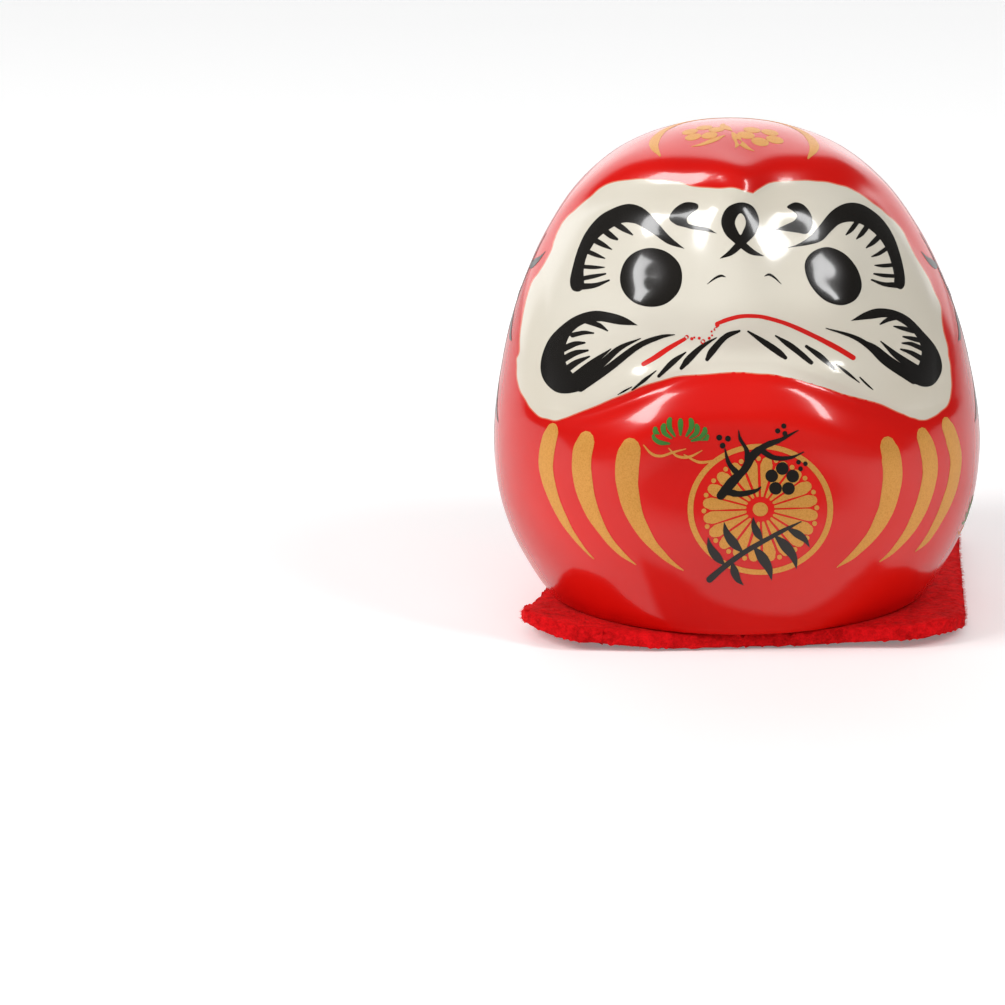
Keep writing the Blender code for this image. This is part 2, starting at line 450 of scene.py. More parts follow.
def red_glaze_finish():
    material, tree, shader = new_finish("red_glaze", GLAZE_ROUGHNESS, GLAZE_COAT, GLAZE_SPECULAR)
    glaze = use_group(tree, GLAZE)
    colour = ramp_node(tree, glaze["Pool"], ((0.32, RED_DEEP), (0.62, RED_BRIGHT)))
    where = tree.nodes.new("ShaderNodeSeparateXYZ")
    tree.links.new(tree.nodes.new("ShaderNodeTexCoord").outputs["Object"], where.inputs[0])
    speckle = noise_node(tree, 700.0, 3.0, 0.6)
    edge = math_node(tree, "ADD", where.outputs["Z"], math_node(tree, "MULTIPLY", speckle, 0.0001))
    above_foot = math_node(tree, "SUBTRACT", edge, FOOT_Z + 0.00004)
    glazed = math_node(tree, "MULTIPLY", above_foot, 9000.0, clamp=True)
    inside = tree.nodes.new("ShaderNodeAttribute")
    inside.attribute_name = "bare"
    bare = math_node(tree, "MAXIMUM", math_node(tree, "SUBTRACT", 1.0, glazed), inside.outputs["Fac"])
    clay = ramp_node(tree, speckle, ((0.3, tuple(0.8 * c for c in BARE_CLAY)), (0.7, BARE_CLAY)))
    tree.links.new(mix_colours(tree, bare, colour, clay), shader.inputs["Base Color"])
    rough = math_node(tree, "ADD", math_node(tree, "MULTIPLY", bare, 0.6), GLAZE_ROUGHNESS)
    tree.links.new(rough, shader.inputs["Roughness"])
    coated = math_node(tree, "MULTIPLY", math_node(tree, "SUBTRACT", 1.0, bare), GLAZE_COAT)
    tree.links.new(coated, shader.inputs["Coat Weight"])
    bump(tree, shader, glaze["Ripple"], RIPPLE_STRENGTH, RIPPLE_DEPTH)
    return material


def plain_glaze(name, deep, bright, roughness=GLAZE_ROUGHNESS, coat=GLAZE_COAT):
    material, tree, shader = new_finish(name, roughness, coat, GLAZE_SPECULAR)
    glaze = use_group(tree, GLAZE)
    colour = ramp_node(tree, glaze["Pool"], ((0.3, deep), (0.65, bright)))
    tree.links.new(colour, shader.inputs["Base Color"])
    bump(tree, shader, glaze["Ripple"], RIPPLE_STRENGTH, RIPPLE_DEPTH)
    return material


RED_GLAZE = red_glaze_finish()
WHITE_GLAZE = plain_glaze("white_glaze", (0.76, 0.70, 0.58), (0.82, 0.77, 0.66))
BLACK_GLAZE = plain_glaze("black_enamel", (0.009, 0.008, 0.007), (0.014, 0.012, 0.010))
MOUTH_RED = plain_glaze("mouth_red", (0.66, 0.010, 0.008), (0.76, 0.016, 0.012))
EDGE_PINK = plain_glaze("thin_red_edge", (0.80, 0.16, 0.09), (0.84, 0.24, 0.14))
PINE_GREEN = plain_glaze("pine_green", (0.035, 0.17, 0.025), (0.07, 0.27, 0.045), roughness=0.4, coat=0.4)
print("finishes:", [material.name for material in bpy.data.materials])

# %% [markdown]
# Gold marks are an ochre metallic powder, fired on: grainy close up, flat from afar. The grain
# feeds colour and bump, with only a little metal in it, since full metal would turn dark where
# it mirrors the dark room.

# %% Gold material
GOLD_DARK, GOLD_MIDDLE, GOLD_LIGHT = (0.46, 0.16, 0.018), (0.69, 0.275, 0.036), (0.84, 0.40, 0.08)


def gold_finish():
    material, tree, shader = new_finish("gold_powder", 0.38)
    grain = use_group(tree, POWDER)["Grain"]
    shade = math_node(tree, "ADD", math_node(tree, "MULTIPLY", grain, 0.5), 0.5)
    colour = ramp_node(tree, shade, ((0.15, GOLD_DARK), (0.5, GOLD_MIDDLE), (0.85, GOLD_LIGHT)))
    tree.links.new(colour, shader.inputs["Base Color"])
    shader.inputs["Metallic"].default_value = 0.25
    bump(tree, shader, grain, 0.15, 0.00005)
    return material


GOLD = gold_finish()
print("gold:", GOLD.name)

# %% [markdown]
# ## The glazed body
# One profile goes down the outside, under the foot, up through the vent hole and back over
# the inside, so spinning it gives a closed, hollow casting. The front is then pushed out by
# the relief. We spin a curve because the form is turned, and a mould only adds relief to it.

# %% Glazed body
WALL = 3.0
VENT_RADIUS = 6.0
FOOT_RECESS = 2.2
ROOM_FLOOR = FOOT_RECESS + WALL
OUTER_ROWS, INNER_ROWS, COLUMNS = 168, 34, 300


def body_profile():
    outer = side_curve(OUTER_ROWS)
    foot = [(23.75, 0.35), (23.3, 0.08), (22.9, 0.0), (20.5, 0.0), (18.3, 0.0), (17.9, 0.15),
            (17.3, 1.3), (17.0, 2.0), (16.6, FOOT_RECESS), (12.0, FOOT_RECESS), (8.0, FOOT_RECESS),
            (6.6, FOOT_RECESS), (6.1, FOOT_RECESS + 0.25), (VENT_RADIUS, FOOT_RECESS + 0.6)]
    neck = [(VENT_RADIUS, ROOM_FLOOR - 0.5), (VENT_RADIUS + 0.4, ROOM_FLOOR), (14.0, ROOM_FLOOR)]
    level = SIDE_H[WIDEST]
    inner = []
    for r, h in side_curve(INNER_ROWS)[::-1]:
        rise = (HEIGHT - level - 1.15 * WALL) / (HEIGHT - level) if h > level else 0.9
        place = level + (h - level) * rise
        if place > ROOM_FLOOR + 1.5:
            inner.append((max(r, 0.0) * (HALF_WIDTH - WALL) / HALF_WIDTH, place))
    neck.append((inner[0][0] - 2.0, ROOM_FLOOR + 0.2))
    return np.array([*outer, *foot, *neck, *inner])


def spun_piece(name, profile, columns):
    """A curve converted to edges, then spun round Z in edit mode and sewn."""
    clean_bench()
    bpy.ops.curve.primitive_bezier_curve_add()
    curve = bpy.context.object
    curve.data.splines.clear()
    spline = curve.data.splines.new("POLY")
    spline.points.add(len(profile) - 1)
    for point, (r, h) in zip(spline.points, profile):
        point.co = (r, 0.0, h, 1.0)
    curve.data.dimensions = "3D"
    bpy.ops.object.convert(target="MESH")
    piece = take(bpy.context.object, name)
    bpy.ops.object.mode_set(mode="EDIT")
    bpy.ops.mesh.select_all(action="SELECT")
    bpy.ops.mesh.spin(steps=columns, angle=math.tau, center=(0, 0, 0), axis=(0, 0, 1))
    bpy.ops.mesh.select_all(action="SELECT")
    bpy.ops.mesh.remove_doubles(threshold=0.002)
    bpy.ops.mesh.normals_make_consistent(inside=False)
    bpy.ops.object.mode_set(mode="OBJECT")
    bpy.ops.object.shade_smooth()
    return piece


body = spun_piece("glazed_body", body_profile(), COLUMNS)
raw = points_of(body)
radius = np.hypot(raw[:, 0], raw[:, 1])
turn = np.arctan2(raw[:, 0], -raw[:, 1])
on_crown = raw[:, 2] > 45  # the side is found by height, but the flatter crown by radius
place = np.where(on_crown, place_from_radius(radius), place_from_height(raw[:, 2]))
NEAR_SIDE = 0.8  # a point this near the side curve is on the outside, not on the inner wall
outside = (np.abs(read_side(SIDE_R, place) - radius) < NEAR_SIDE) & (raw[:, 2] > 0.6)
outside &= np.abs(read_side(SIDE_H, place) - raw[:, 2]) < NEAR_SIDE
shaped = raw * (1.0, SQUEEZE, 1.0)
shaped[:, 0] += lean(shaped[:, 2])
shaped[outside] = surface(turn[outside], place[outside])
put_points(body, in_world(shaped))
bare = body.data.attributes.new("bare", "FLOAT", "POINT")
bare.data.foreach_set("value", (~outside & (radius < 23.2)).astype(np.float32))
body.data.materials.append(RED_GLAZE)
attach(body, "doll")
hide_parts("doll_shell")
print(body.name, len(body.data.polygons), "faces")

# %% [markdown]
# ## Painting tools
# A mark is drawn flat as a closed outline, filled, cut into small cells so it can bend, and
# laid on the glaze a few hundredths of a millimetre up, as a fired enamel lies. Real edges
# stay crisp at any size, which a painted texture would not give.

# %% Outlines and brush strokes
def outline(points, per_span=7):
    """A closed smooth outline; a point with a third entry is a sharp tip."""
    points = [tuple(p) for p in points]
    first = next((i for i, p in enumerate(points) if len(p) > 2), 0)
    points = points[first:] + points[:first]
    count = len(points)

    def spot(i):
        return np.array(points[i % count][:2], float)

    def sharp(i):
        return len(points[i % count]) > 2

    found = []
    for i in range(count):
        b, c = spot(i), spot(i + 1)
        a = 2 * b - c if sharp(i) else spot(i - 1)
        d = 2 * c - b if sharp(i + 1) else spot(i + 2)
        for t in np.linspace(0, 1, per_span, endpoint=False):
            found.append(curve_between(a, b, c, d, t))
    return np.array(found)


def smooth_line(points, per_span=8):
    points = np.array(points, float)
    ends = np.vstack([2 * points[0] - points[1], points, 2 * points[-1] - points[-2]])
    found = []
    for i in range(len(points) - 1):
        a, b, c, d = ends[i : i + 4]
        for t in np.linspace(0, 1, per_span, endpoint=False):
            found.append(curve_between(a, b, c, d, t))
    found.append(points[-1])
    return np.array(found)


def brush(points, per_span=8, wobble=0.0, seed=0):
    """A stroke along (u, v, width) points, with round ends where it is wide."""
    line = smooth_line(points, per_span)
    spine, width = line[:, :2], np.maximum(line[:, 2], 0.04)
    if wobble:
        rng = np.random.default_rng(seed)
        soft = np.convolve(rng.normal(0, 1, len(width) + 4), np.ones(5) / 5, "valid")
        width = np.maximum(width * (1 + wobble * soft), 0.04)
    along = np.gradient(spine, axis=0)
    along /= np.linalg.norm(along, axis=1)[:, None]
    across = np.stack([-along[:, 1], along[:, 0]], -1)
    left, right = spine + across * width[:, None] / 2, spine - across * width[:, None] / 2

    def cap(at, outward, side, half):
        if half < 0.1:
            return []
        angles = np.linspace(0, math.pi, 7)[1:-1]
        return [at + side * half * math.cos(a) + outward * half * math.sin(a) for a in angles]

    far = cap(spine[-1], along[-1], across[-1], width[-1] / 2)
    near = cap(spine[0], -along[0], -across[0], width[0] / 2)
    return np.array([*left, *far, *right[::-1], *near])


def circle(at, radius, count=48, squash=1.0):
    angles = np.linspace(0, math.tau, count, endpoint=False)
    return np.stack([at[0] + radius * np.cos(angles), at[1] + radius * squash * np.sin(angles)], -1)


print("a short round stroke has", len(brush([(0.0, 0.0, 1.0), (1.0, 0.0, 1.0)])), "points")

# %% [markdown]
# Fired colours lie over one another in thin layers. Each mark has its own height over the bare
# glaze, so that two marks that cross never share a surface, which would flicker.

# %% Laying a mark on the glaze
FILM = 0.05
ON_RED, ON_GOLD, ON_WHITE, LAYER = 0.03, 0.048, 0.055, 0.004


def filled_flat(name, outlines, holes):
    """Closed outlines as a filled flat mesh."""
    clean_bench()
    bpy.ops.curve.primitive_bezier_circle_add()
    curve = bpy.context.object
    curve.data.splines.clear()
    for ring in [*outlines, *holes]:
        spline = curve.data.splines.new("POLY")
        spline.points.add(len(ring) - 1)
        for point, (u, v) in zip(spline.points, ring):
            point.co = (u, v, 0.0, 1.0)
        spline.use_cyclic_u = True
    curve.data.dimensions = "2D"
    curve.data.fill_mode = "BOTH"
    bpy.ops.object.convert(target="MESH")
    return take(bpy.context.object, name)


def cut_to_cells(piece, cell, whole):
    """Merges each fill to one face, then slices it on a grid."""
    sheet = bmesh.new()
    sheet.from_mesh(piece.data)
    bmesh.ops.remove_doubles(sheet, verts=sheet.verts, dist=1e-4)
    if whole:
        bmesh.ops.dissolve_faces(sheet, faces=sheet.faces, use_verts=False)
    flat = np.array([v.co[:2] for v in sheet.verts])
    for axis in (0, 1):
        low, high = flat[:, axis].min(), flat[:, axis].max()
        normal = (1, 0, 0) if axis == 0 else (0, 1, 0)
        for k in range(math.ceil(low / cell), math.floor(high / cell) + 1):
            spot = [0.0, 0.0, 0.0]
            spot[axis] = k * cell + 0.0137
            bmesh.ops.bisect_plane(sheet, geom=[*sheet.verts, *sheet.edges, *sheet.faces],
                                   dist=1e-5, plane_co=spot, plane_no=normal)
    bmesh.ops.remove_doubles(sheet, verts=sheet.verts, dist=2e-4)
    sheet.normal_update()
    bmesh.ops.reverse_faces(sheet, faces=[face for face in sheet.faces if face.normal.z < 0])
    sheet.to_mesh(piece.data)
    sheet.free()


def paint(name, outlines, finish, chart=face_chart, lift=ON_RED, cell=0.6, holes=(), film=FILM):
    """One fired mark: filled, cut to cells, laid on the chart and given a thickness."""
    piece = filled_flat(name, outlines, holes)
    cut_to_cells(piece, cell, whole=not len(holes))
    flat = points_of(piece)[:, :2]
    top = chart(flat, lift)
    step = 0.05
    by_u = chart(flat + (step, 0), lift) - chart(flat - (step, 0), lift)
    by_v = chart(flat + (0, step), lift) - chart(flat - (0, step), lift)
    normal = np.cross(by_u, by_v)
    normal /= np.maximum(np.linalg.norm(normal, axis=1), 1e-9)[:, None]
    middle = np.array([0.0, 0.0, 25.0])
    normal *= np.sign(np.einsum("ij,ij->i", normal, top - middle))[:, None]
    put_points(piece, in_world(top))
    mesh = piece.data
    facing = sum(Vector(normal[face.vertices[0]]).dot(face.normal) for face in mesh.polygons)
    if facing < 0:
        mesh.flip_normals()
    thickness = piece.modifiers.new("film", "SOLIDIFY")
    thickness.thickness = film / 1000
    thickness.offset = -1.0
    apply_all(piece)
    for face in piece.data.polygons:
        face.use_smooth = True
    both = np.vstack([normal, -normal])
    if len(both) == len(piece.data.vertices):
        piece.data.normals_split_custom_set_from_vertices([tuple(n) for n in both])
    piece.data.materials.append(finish)
    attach(piece, "doll")
    print(f"{name}: {len(piece.data.polygons)} faces")
    return piece


# %% [markdown]
# ## The white face
# The face is white glaze with the red worked up to it by hand, so its edge wanders a little
# and the red thins to orange where it laps over. A slightly larger mark under the white one
# gives that thin edge.

# %% White face
FACE_EDGE = [
    (2.0, 31.2, 1), (0.2, 31.8), (-2.6, 31.9), (-5.2, 32.0), (-7.4, 32.6), (-9.9, 32.9), (-12.5, 33.0),
    (-16.1, 32.3), (-18.1, 30.9), (-20.1, 29.2), (-21.4, 27.9), (-22.4, 26.0), (-22.8, 24.6),
    (-24.0, 22.3), (-25.4, 20.1), (-26.4, 16.6), (-26.9, 12.0), (-27.3, 10.4), (-27.0, 7.6),
    (-26.0, 5.4), (-24.8, 3.9), (-23.0, 3.2), (-21.4, 3.4), (-19.0, 4.4), (-15.1, 6.0), (-12.1, 7.3),
    (-8.3, 8.5), (-4.3, 8.9), (1.0, 9.1), (3.7, 8.9), (6.7, 8.4), (9.7, 7.5), (13.6, 6.3),
    (17.6, 5.2), (20.4, 4.0), (22.1, 3.4), (23.4, 3.3), (24.9, 4.0), (26.0, 5.1), (26.4, 6.4),
    (26.5, 8.4), (26.3, 10.4), (26.0, 12.3), (25.5, 14.9), (25.2, 17.2), (24.0, 20.1), (22.4, 23.1),
    (20.4, 26.6), (18.9, 28.4), (16.7, 30.1), (14.6, 31.5), (12.4, 32.3), (9.7, 32.8), (6.7, 32.8),
    (3.9, 32.4),
]


def sideways(ring):
    """At each point of a closed line, the direction square to it."""
    along = np.roll(ring, -1, 0) - np.roll(ring, 1, 0)
    along /= np.maximum(np.linalg.norm(along, axis=1), 1e-9)[:, None]
    return np.stack([along[:, 1], -along[:, 0]], -1)


def widened(ring, by):
    """An outline moved outwards along its own normals."""
    area = np.sum(ring[:, 0] * np.roll(ring[:, 1], -1) - np.roll(ring[:, 0], -1) * ring[:, 1])
    return ring + sideways(ring) * by * np.sign(area)


def evenly(ring, step):
    """The same closed line with its points one step apart."""
    closed = np.vstack([ring, ring[:1]])
    along = np.concatenate([[0], np.cumsum(np.linalg.norm(np.diff(closed, axis=0), axis=1))])
    places = np.linspace(0, along[-1], int(along[-1] / step), endpoint=False)
    return np.stack([np.interp(places, along, closed[:, k]) for k in (0, 1)], -1)


def wandering(ring, by, seed):
    """A hand-held edge: each point strays a little, smoothly."""
    rng = np.random.default_rng(seed)
    stray = rng.normal(0, 1, len(ring))
    for _ in range(3):
        stray = (np.roll(stray, 1) + stray + np.roll(stray, -1)) / 3
    return ring + sideways(ring) * (stray * by)[:, None]


face_ring = wandering(outline(FACE_EDGE), 0.10, 3)
paint("thin_edge", [widened(face_ring, 0.14)], EDGE_PINK, lift=0.012, cell=0.4,
      holes=[widened(face_ring, -0.3)])
paint("white_face", [face_ring], WHITE_GLAZE, cell=0.35, film=0.3)

# %% [markdown]
# The white is a thick film, and the red stops under it. So the body is let in wherever it lies
# under the white, or its red would show through where both surfaces bend.

# %% Letting the body in under the white
WHITE_DEPTH = 0.16


def depth_inside(ring, points):
    """How far each point lies inside a closed line, 0 outside it."""
    a, b = ring, np.roll(ring, -1, 0)
    x, y = points[:, :1], points[:, 1:]
    crosses = (a[:, 1] > y) != (b[:, 1] > y)
    rise = np.where(b[:, 1] == a[:, 1], 1e-9, b[:, 1] - a[:, 1])
    left = x < (b[:, 0] - a[:, 0]) * (y - a[:, 1]) / rise + a[:, 0]
    inside = (crosses & left).sum(axis=1) % 2 == 1
    near = np.sqrt(((points[:, None, :] - ring[None, ::2]) ** 2).sum(axis=2).min(axis=1))
    return np.where(inside, near, 0.0)


front = np.flatnonzero(outside & (shaped[:, 1] < -4))
under_white = smooth_step(0.25, 0.9, depth_inside(face_ring, seen_from_front(shaped[front])))
shaped[front] = surface(turn[front], place[front], -WHITE_DEPTH * under_white)
put_points(body, in_world(shaped))
print("let in:", int((under_white > 0).sum()), "points")

# %% [markdown]
# ## Brows, eyes and cheeks
# The brows stand for cranes and the cheeks for tortoises: a bold band with hairs combed in
# from it. The band is a closed outline with sharp tips, and each hair is a brush stroke, given
# as (across, up, width) along its line.

# %% Bands of the brows and cheeks
BANDS = {
    "brow_left": [
        (-6.5, 24.4, 1), (-8.4, 26.0), (-9.9, 27.7), (-11.3, 29.2), (-12.6, 29.85), (-13.9, 29.9),
        (-15.6, 29.3), (-17.2, 28.3), (-18.7, 26.5), (-19.7, 24.4), (-20.4, 22.0), (-20.7, 20.3),
        (-20.4, 19.3), (-19.6, 19.1), (-19.0, 19.6), (-18.95, 20.4), (-19.0, 21.8), (-18.7, 23.3),
        (-18.15, 24.4), (-17.25, 25.7), (-15.7, 26.9), (-14.25, 27.6), (-13.0, 27.6), (-12.1, 27.3),
        (-10.3, 26.2), (-8.55, 25.0)],
    "brow_right": [
        (6.2, 24.5, 1), (7.6, 25.0), (9.0, 25.9), (10.1, 27.1), (11.6, 28.95), (13.1, 29.9),
        (14.6, 30.1), (16.1, 29.6), (17.9, 28.2), (19.3, 26.2), (20.2, 23.8), (20.75, 21.4),
        (20.8, 20.0), (20.4, 19.4), (19.8, 19.6), (19.5, 20.3), (19.5, 21.0), (19.15, 22.6),
        (18.45, 24.5), (17.3, 26.1), (15.7, 27.3), (14.3, 27.75), (12.8, 27.5), (11.7, 26.6),
        (10.5, 25.4), (8.9, 24.9)],
    "cheek_left": [
        (-12.3, 14.9, 1), (-13.9, 15.9), (-15.8, 16.5), (-17.8, 16.7), (-19.9, 16.1), (-21.7, 14.9),
        (-23.3, 13.2), (-24.2, 11.0), (-24.3, 9.1), (-23.6, 7.6), (-22.3, 6.6), (-20.7, 6.5),
        (-18.9, 7.1), (-19.6, 8.2), (-20.9, 9.6), (-21.4, 11.2), (-21.1, 12.9), (-20.2, 14.3),
        (-18.7, 15.2), (-16.9, 15.4), (-14.6, 15.0)],
    "cheek_right": [
        (14.1, 15.45, 1), (15.8, 16.5), (17.4, 17.0), (19.4, 16.8), (21.3, 15.9), (23.1, 14.1),
        (24.6, 12.3), (25.35, 10.5), (25.3, 9.0), (24.4, 7.6), (23.1, 7.3), (21.6, 8.0), (21.9, 9.0),
        (22.6, 10.2), (22.9, 11.7), (22.5, 13.1), (21.5, 14.4), (20.1, 15.4), (18.6, 15.9), (16.6, 15.7)],
}
for band, points in BANDS.items():
    paint(band, [outline(points, 5)], BLACK_GLAZE, lift=ON_WHITE, cell=0.5)

# %% Combed hairs
HAIRS = {
    "brow_left": [
        [(-15.2, 27.6, 0.75), (-14.1, 26.9, 0.7), (-12.9, 26.1, 0.15)],
        [(-16.6, 26.8, 0.8), (-15.6, 26.0, 0.7), (-14.9, 25.6, 0.35)],
        [(-17.9, 25.6, 0.75), (-16.6, 24.9, 0.6), (-15.5, 24.3, 0.12)],
        [(-18.6, 24.1, 0.6), (-17.4, 23.6, 0.5), (-16.35, 23.2, 0.12)],
        [(-19.2, 22.2, 0.5), (-17.7, 22.1, 0.45), (-16.4, 22.1, 0.12)],
        [(-19.3, 20.7, 0.55), (-17.7, 21.0, 0.5), (-16.3, 21.3, 0.2)],
        [(-19.9, 19.7, 0.9), (-17.7, 19.85, 0.6), (-15.85, 20.5, 0.2)]],
    "brow_right": [
        [(15.1, 28.0, 0.6), (14.2, 26.8, 0.55), (13.5, 26.1, 0.15)],
        [(16.3, 27.4, 0.65), (15.5, 26.3, 0.6), (14.8, 25.6, 0.15)],
        [(18.0, 26.3, 0.7), (16.9, 25.2, 0.6), (16.0, 24.5, 0.15)],
        [(18.8, 24.6, 0.55), (17.6, 23.8, 0.45), (16.65, 23.4, 0.12)],
        [(19.5, 22.4, 0.5), (18.1, 22.3, 0.45), (17.05, 22.35, 0.12)],
        [(19.8, 21.0, 0.45), (18.2, 21.1, 0.45), (17.0, 21.3, 0.2)],
        [(20.1, 19.9, 0.8), (18.3, 20.0, 0.5), (16.7, 20.55, 0.2)]],
    "cheek_left": [
        [(-18.8, 15.5, 0.7), (-17.1, 14.9, 0.6), (-16.0, 14.2, 0.15)],
        [(-20.4, 13.7, 0.6), (-19.0, 14.0, 0.5), (-17.8, 13.95, 0.2)],
        [(-21.5, 12.0, 0.8), (-20.1, 12.6, 0.65), (-18.9, 12.75, 0.25)],
        [(-21.7, 10.6, 0.85), (-20.1, 11.45, 0.7), (-18.5, 11.8, 0.25)],
        [(-21.5, 9.2, 0.9), (-19.9, 10.3, 0.7), (-18.3, 11.05, 0.2)],
        [(-20.9, 7.9, 1.0), (-18.1, 10.1, 0.85), (-15.6, 12.0, 0.12)],
        [(-20.0, 7.3, 1.1), (-16.6, 10.3, 0.9), (-14.5, 12.1, 0.65), (-11.9, 13.3, 0.1)],
        [(-19.4, 7.1, 0.9), (-15.9, 9.6, 0.95), (-12.3, 12.3, 0.75), (-9.5, 13.45, 0.5), (-7.7, 13.75, 0.1)]],
    "cheek_right": [
        [(20.0, 16.0, 0.7), (18.7, 15.6, 0.55), (17.7, 15.0, 0.15)],
        [(21.9, 14.2, 0.6), (20.5, 14.55, 0.5), (19.4, 14.8, 0.15)],
        [(22.8, 13.0, 0.6), (21.6, 13.3, 0.5), (20.6, 13.5, 0.2)],
        [(23.0, 12.0, 0.6), (21.6, 12.6, 0.5), (20.5, 12.7, 0.2)],
        [(23.0, 10.7, 0.7), (21.6, 11.5, 0.55), (20.3, 11.95, 0.2)],
        [(22.8, 9.2, 0.95), (20.0, 11.0, 0.8), (17.8, 12.95, 0.12)],
        [(22.4, 8.4, 1.0), (19.2, 10.4, 0.9), (17.0, 12.2, 0.65), (15.1, 13.2, 0.12)],
        [(21.9, 8.0, 0.8), (18.5, 10.3, 0.85), (16.5, 12.2, 0.75), (14.4, 13.5, 0.5), (11.0, 14.55, 0.1)]],
}
# Neighbouring hairs meet at the band, so every second one lies a layer higher.
for band, strokes in HAIRS.items():
    for first in (0, 1):
        hairs = [brush(stroke) for stroke in strokes[first::2]]
        paint(f"hairs_{band}_{first}", hairs, BLACK_GLAZE, lift=ON_WHITE + LAYER * (first + 1))

# %% Eyes
EYES = {
    "eye_left": [
        (-10.7, 24.5), (-8.7, 24.0), (-7.2, 22.6), (-6.8, 20.8), (-7.3, 19.0), (-8.8, 17.6),
        (-10.7, 17.2), (-12.7, 17.7), (-14.1, 19.1), (-14.5, 20.9), (-13.9, 22.8), (-12.6, 24.0)],
    "eye_right": [
        (8.5, 22.9), (9.5, 24.1), (11.3, 24.6), (13.3, 23.8), (14.8, 22.1), (15.45, 20.2), (15.2, 18.8),
        (14.3, 17.8), (12.8, 17.4), (10.9, 18.0), (9.3, 19.6), (8.5, 21.4)],
}
for eye, points in EYES.items():
    paint(eye, [outline(points)], BLACK_GLAZE, lift=ON_WHITE, cell=0.35)

# %% [markdown]
# ## Small strokes
# The knot between the brows and the two commas are closed outlines. Nostrils, whiskers and the
# red mouth are single strokes whose width swells and fades. The mouth line is torn on one side,
# as fired transfers often are: it stops, leaves crumbs of colour, and starts again.

# %% Knot
KNOT = [(0.5, 30.15), (2.0, 29.6), (2.75, 27.9), (2.3, 26.3), (1.3, 25.2), (0.5, 24.5), (-0.4, 25.2),
        (-1.5, 26.3), (-1.95, 27.9), (-1.2, 29.5)]
KNOT_HOLE = [(0.45, 28.8), (0.95, 28.3), (1.1, 27.5), (0.8, 26.7), (0.45, 26.1), (0.05, 26.7),
             (-0.25, 27.5), (-0.05, 28.3)]
KNOT_TAILS = {
    "knot_tail_left": [(0.9, 25.4, 0.7), (0.2, 24.8, 0.9), (-0.8, 23.9, 0.7), (-2.1, 23.2, 0.05)],
    "knot_tail_right": [(0.1, 25.4, 0.7), (0.8, 24.8, 0.9), (1.9, 24.0, 0.7), (3.3, 23.5, 0.05)],
}
paint("knot_ring", [outline(KNOT)], BLACK_GLAZE, lift=ON_WHITE, cell=0.5, holes=[outline(KNOT_HOLE, 5)])
for i, (tail, stroke) in enumerate(KNOT_TAILS.items()):
    paint(tail, [brush(stroke)], BLACK_GLAZE, lift=ON_WHITE + LAYER * (i + 1))

# %% Commas and nostrils
COMMAS = {
    "comma_left": [
        (-5.0, 30.0), (-4.85, 29.4), (-5.5, 28.9), (-6.2, 28.2), (-6.0, 27.5), (-4.9, 27.2),
        (-3.7, 27.0), (-2.5, 26.3, 1), (-4.0, 26.6), (-5.4, 26.8), (-6.6, 27.1), (-7.6, 27.4),
        (-8.4, 28.2), (-7.7, 29.4), (-6.4, 30.15)],
    "comma_right": [
        (6.2, 29.6), (7.2, 30.15), (8.3, 29.8), (9.15, 28.7), (9.35, 27.4), (8.7, 26.3), (7.4, 26.4),
        (4.8, 26.8, 1), (6.1, 27.4), (7.1, 27.9), (7.45, 28.55), (6.9, 29.1)],
}
NOSTRILS = [
    [(-3.7, 20.0, 0.05), (-2.8, 20.7, 0.24), (-2.0, 21.05, 0.3), (-1.4, 20.9, 0.08)],
    [(3.4, 21.0, 0.08), (4.0, 21.2, 0.3), (4.7, 20.8, 0.24), (5.5, 20.0, 0.05)],
]
for comma, points in COMMAS.items():
    paint(comma, [outline(points)], BLACK_GLAZE, lift=ON_WHITE)
paint("nostrils", [brush(stroke) for stroke in NOSTRILS], BLACK_GLAZE, lift=ON_WHITE)

# %% Whiskers
WHISKERS = [
    [(0.3, 14.2, 0.3), (-1.4, 13.5, 0.75), (-3.0, 11.8, 0.85), (-3.7, 10.7, 0.5)],
    [(-2.5, 13.4, 0.12), (-4.3, 12.3, 0.55), (-5.9, 10.8, 0.85), (-6.9, 9.6, 0.5)],
    [(-6.3, 11.6, 0.15), (-8.0, 10.3, 0.7), (-9.7, 8.6, 0.4)],
    [(-10.0, 9.3, 0.12), (-11.5, 8.1, 0.42), (-13.0, 6.9, 0.2)],
    [(-13.0, 7.3, 0.1), (-13.9, 6.8, 0.25), (-14.8, 6.3, 0.08)],
    [(1.3, 14.2, 0.2), (3.4, 12.8, 0.7), (5.0, 11.7, 0.85), (6.0, 10.9, 0.5)],
    [(4.8, 13.6, 0.2), (7.0, 12.1, 0.75), (9.2, 10.3, 0.5)],
    [(8.6, 12.3, 0.4), (10.4, 11.0, 0.7), (12.1, 9.5, 0.25)],
    [(12.3, 10.1, 0.12), (13.7, 9.0, 0.35), (15.2, 7.8, 0.1)],
    [(15.2, 8.5, 0.15), (16.1, 7.6, 0.25), (16.9, 6.9, 0.08)],
]
whiskers = [brush(stroke, wobble=0.10, seed=i) for i, stroke in enumerate(WHISKERS)]
paint("whiskers", whiskers, BLACK_GLAZE, lift=ON_WHITE)

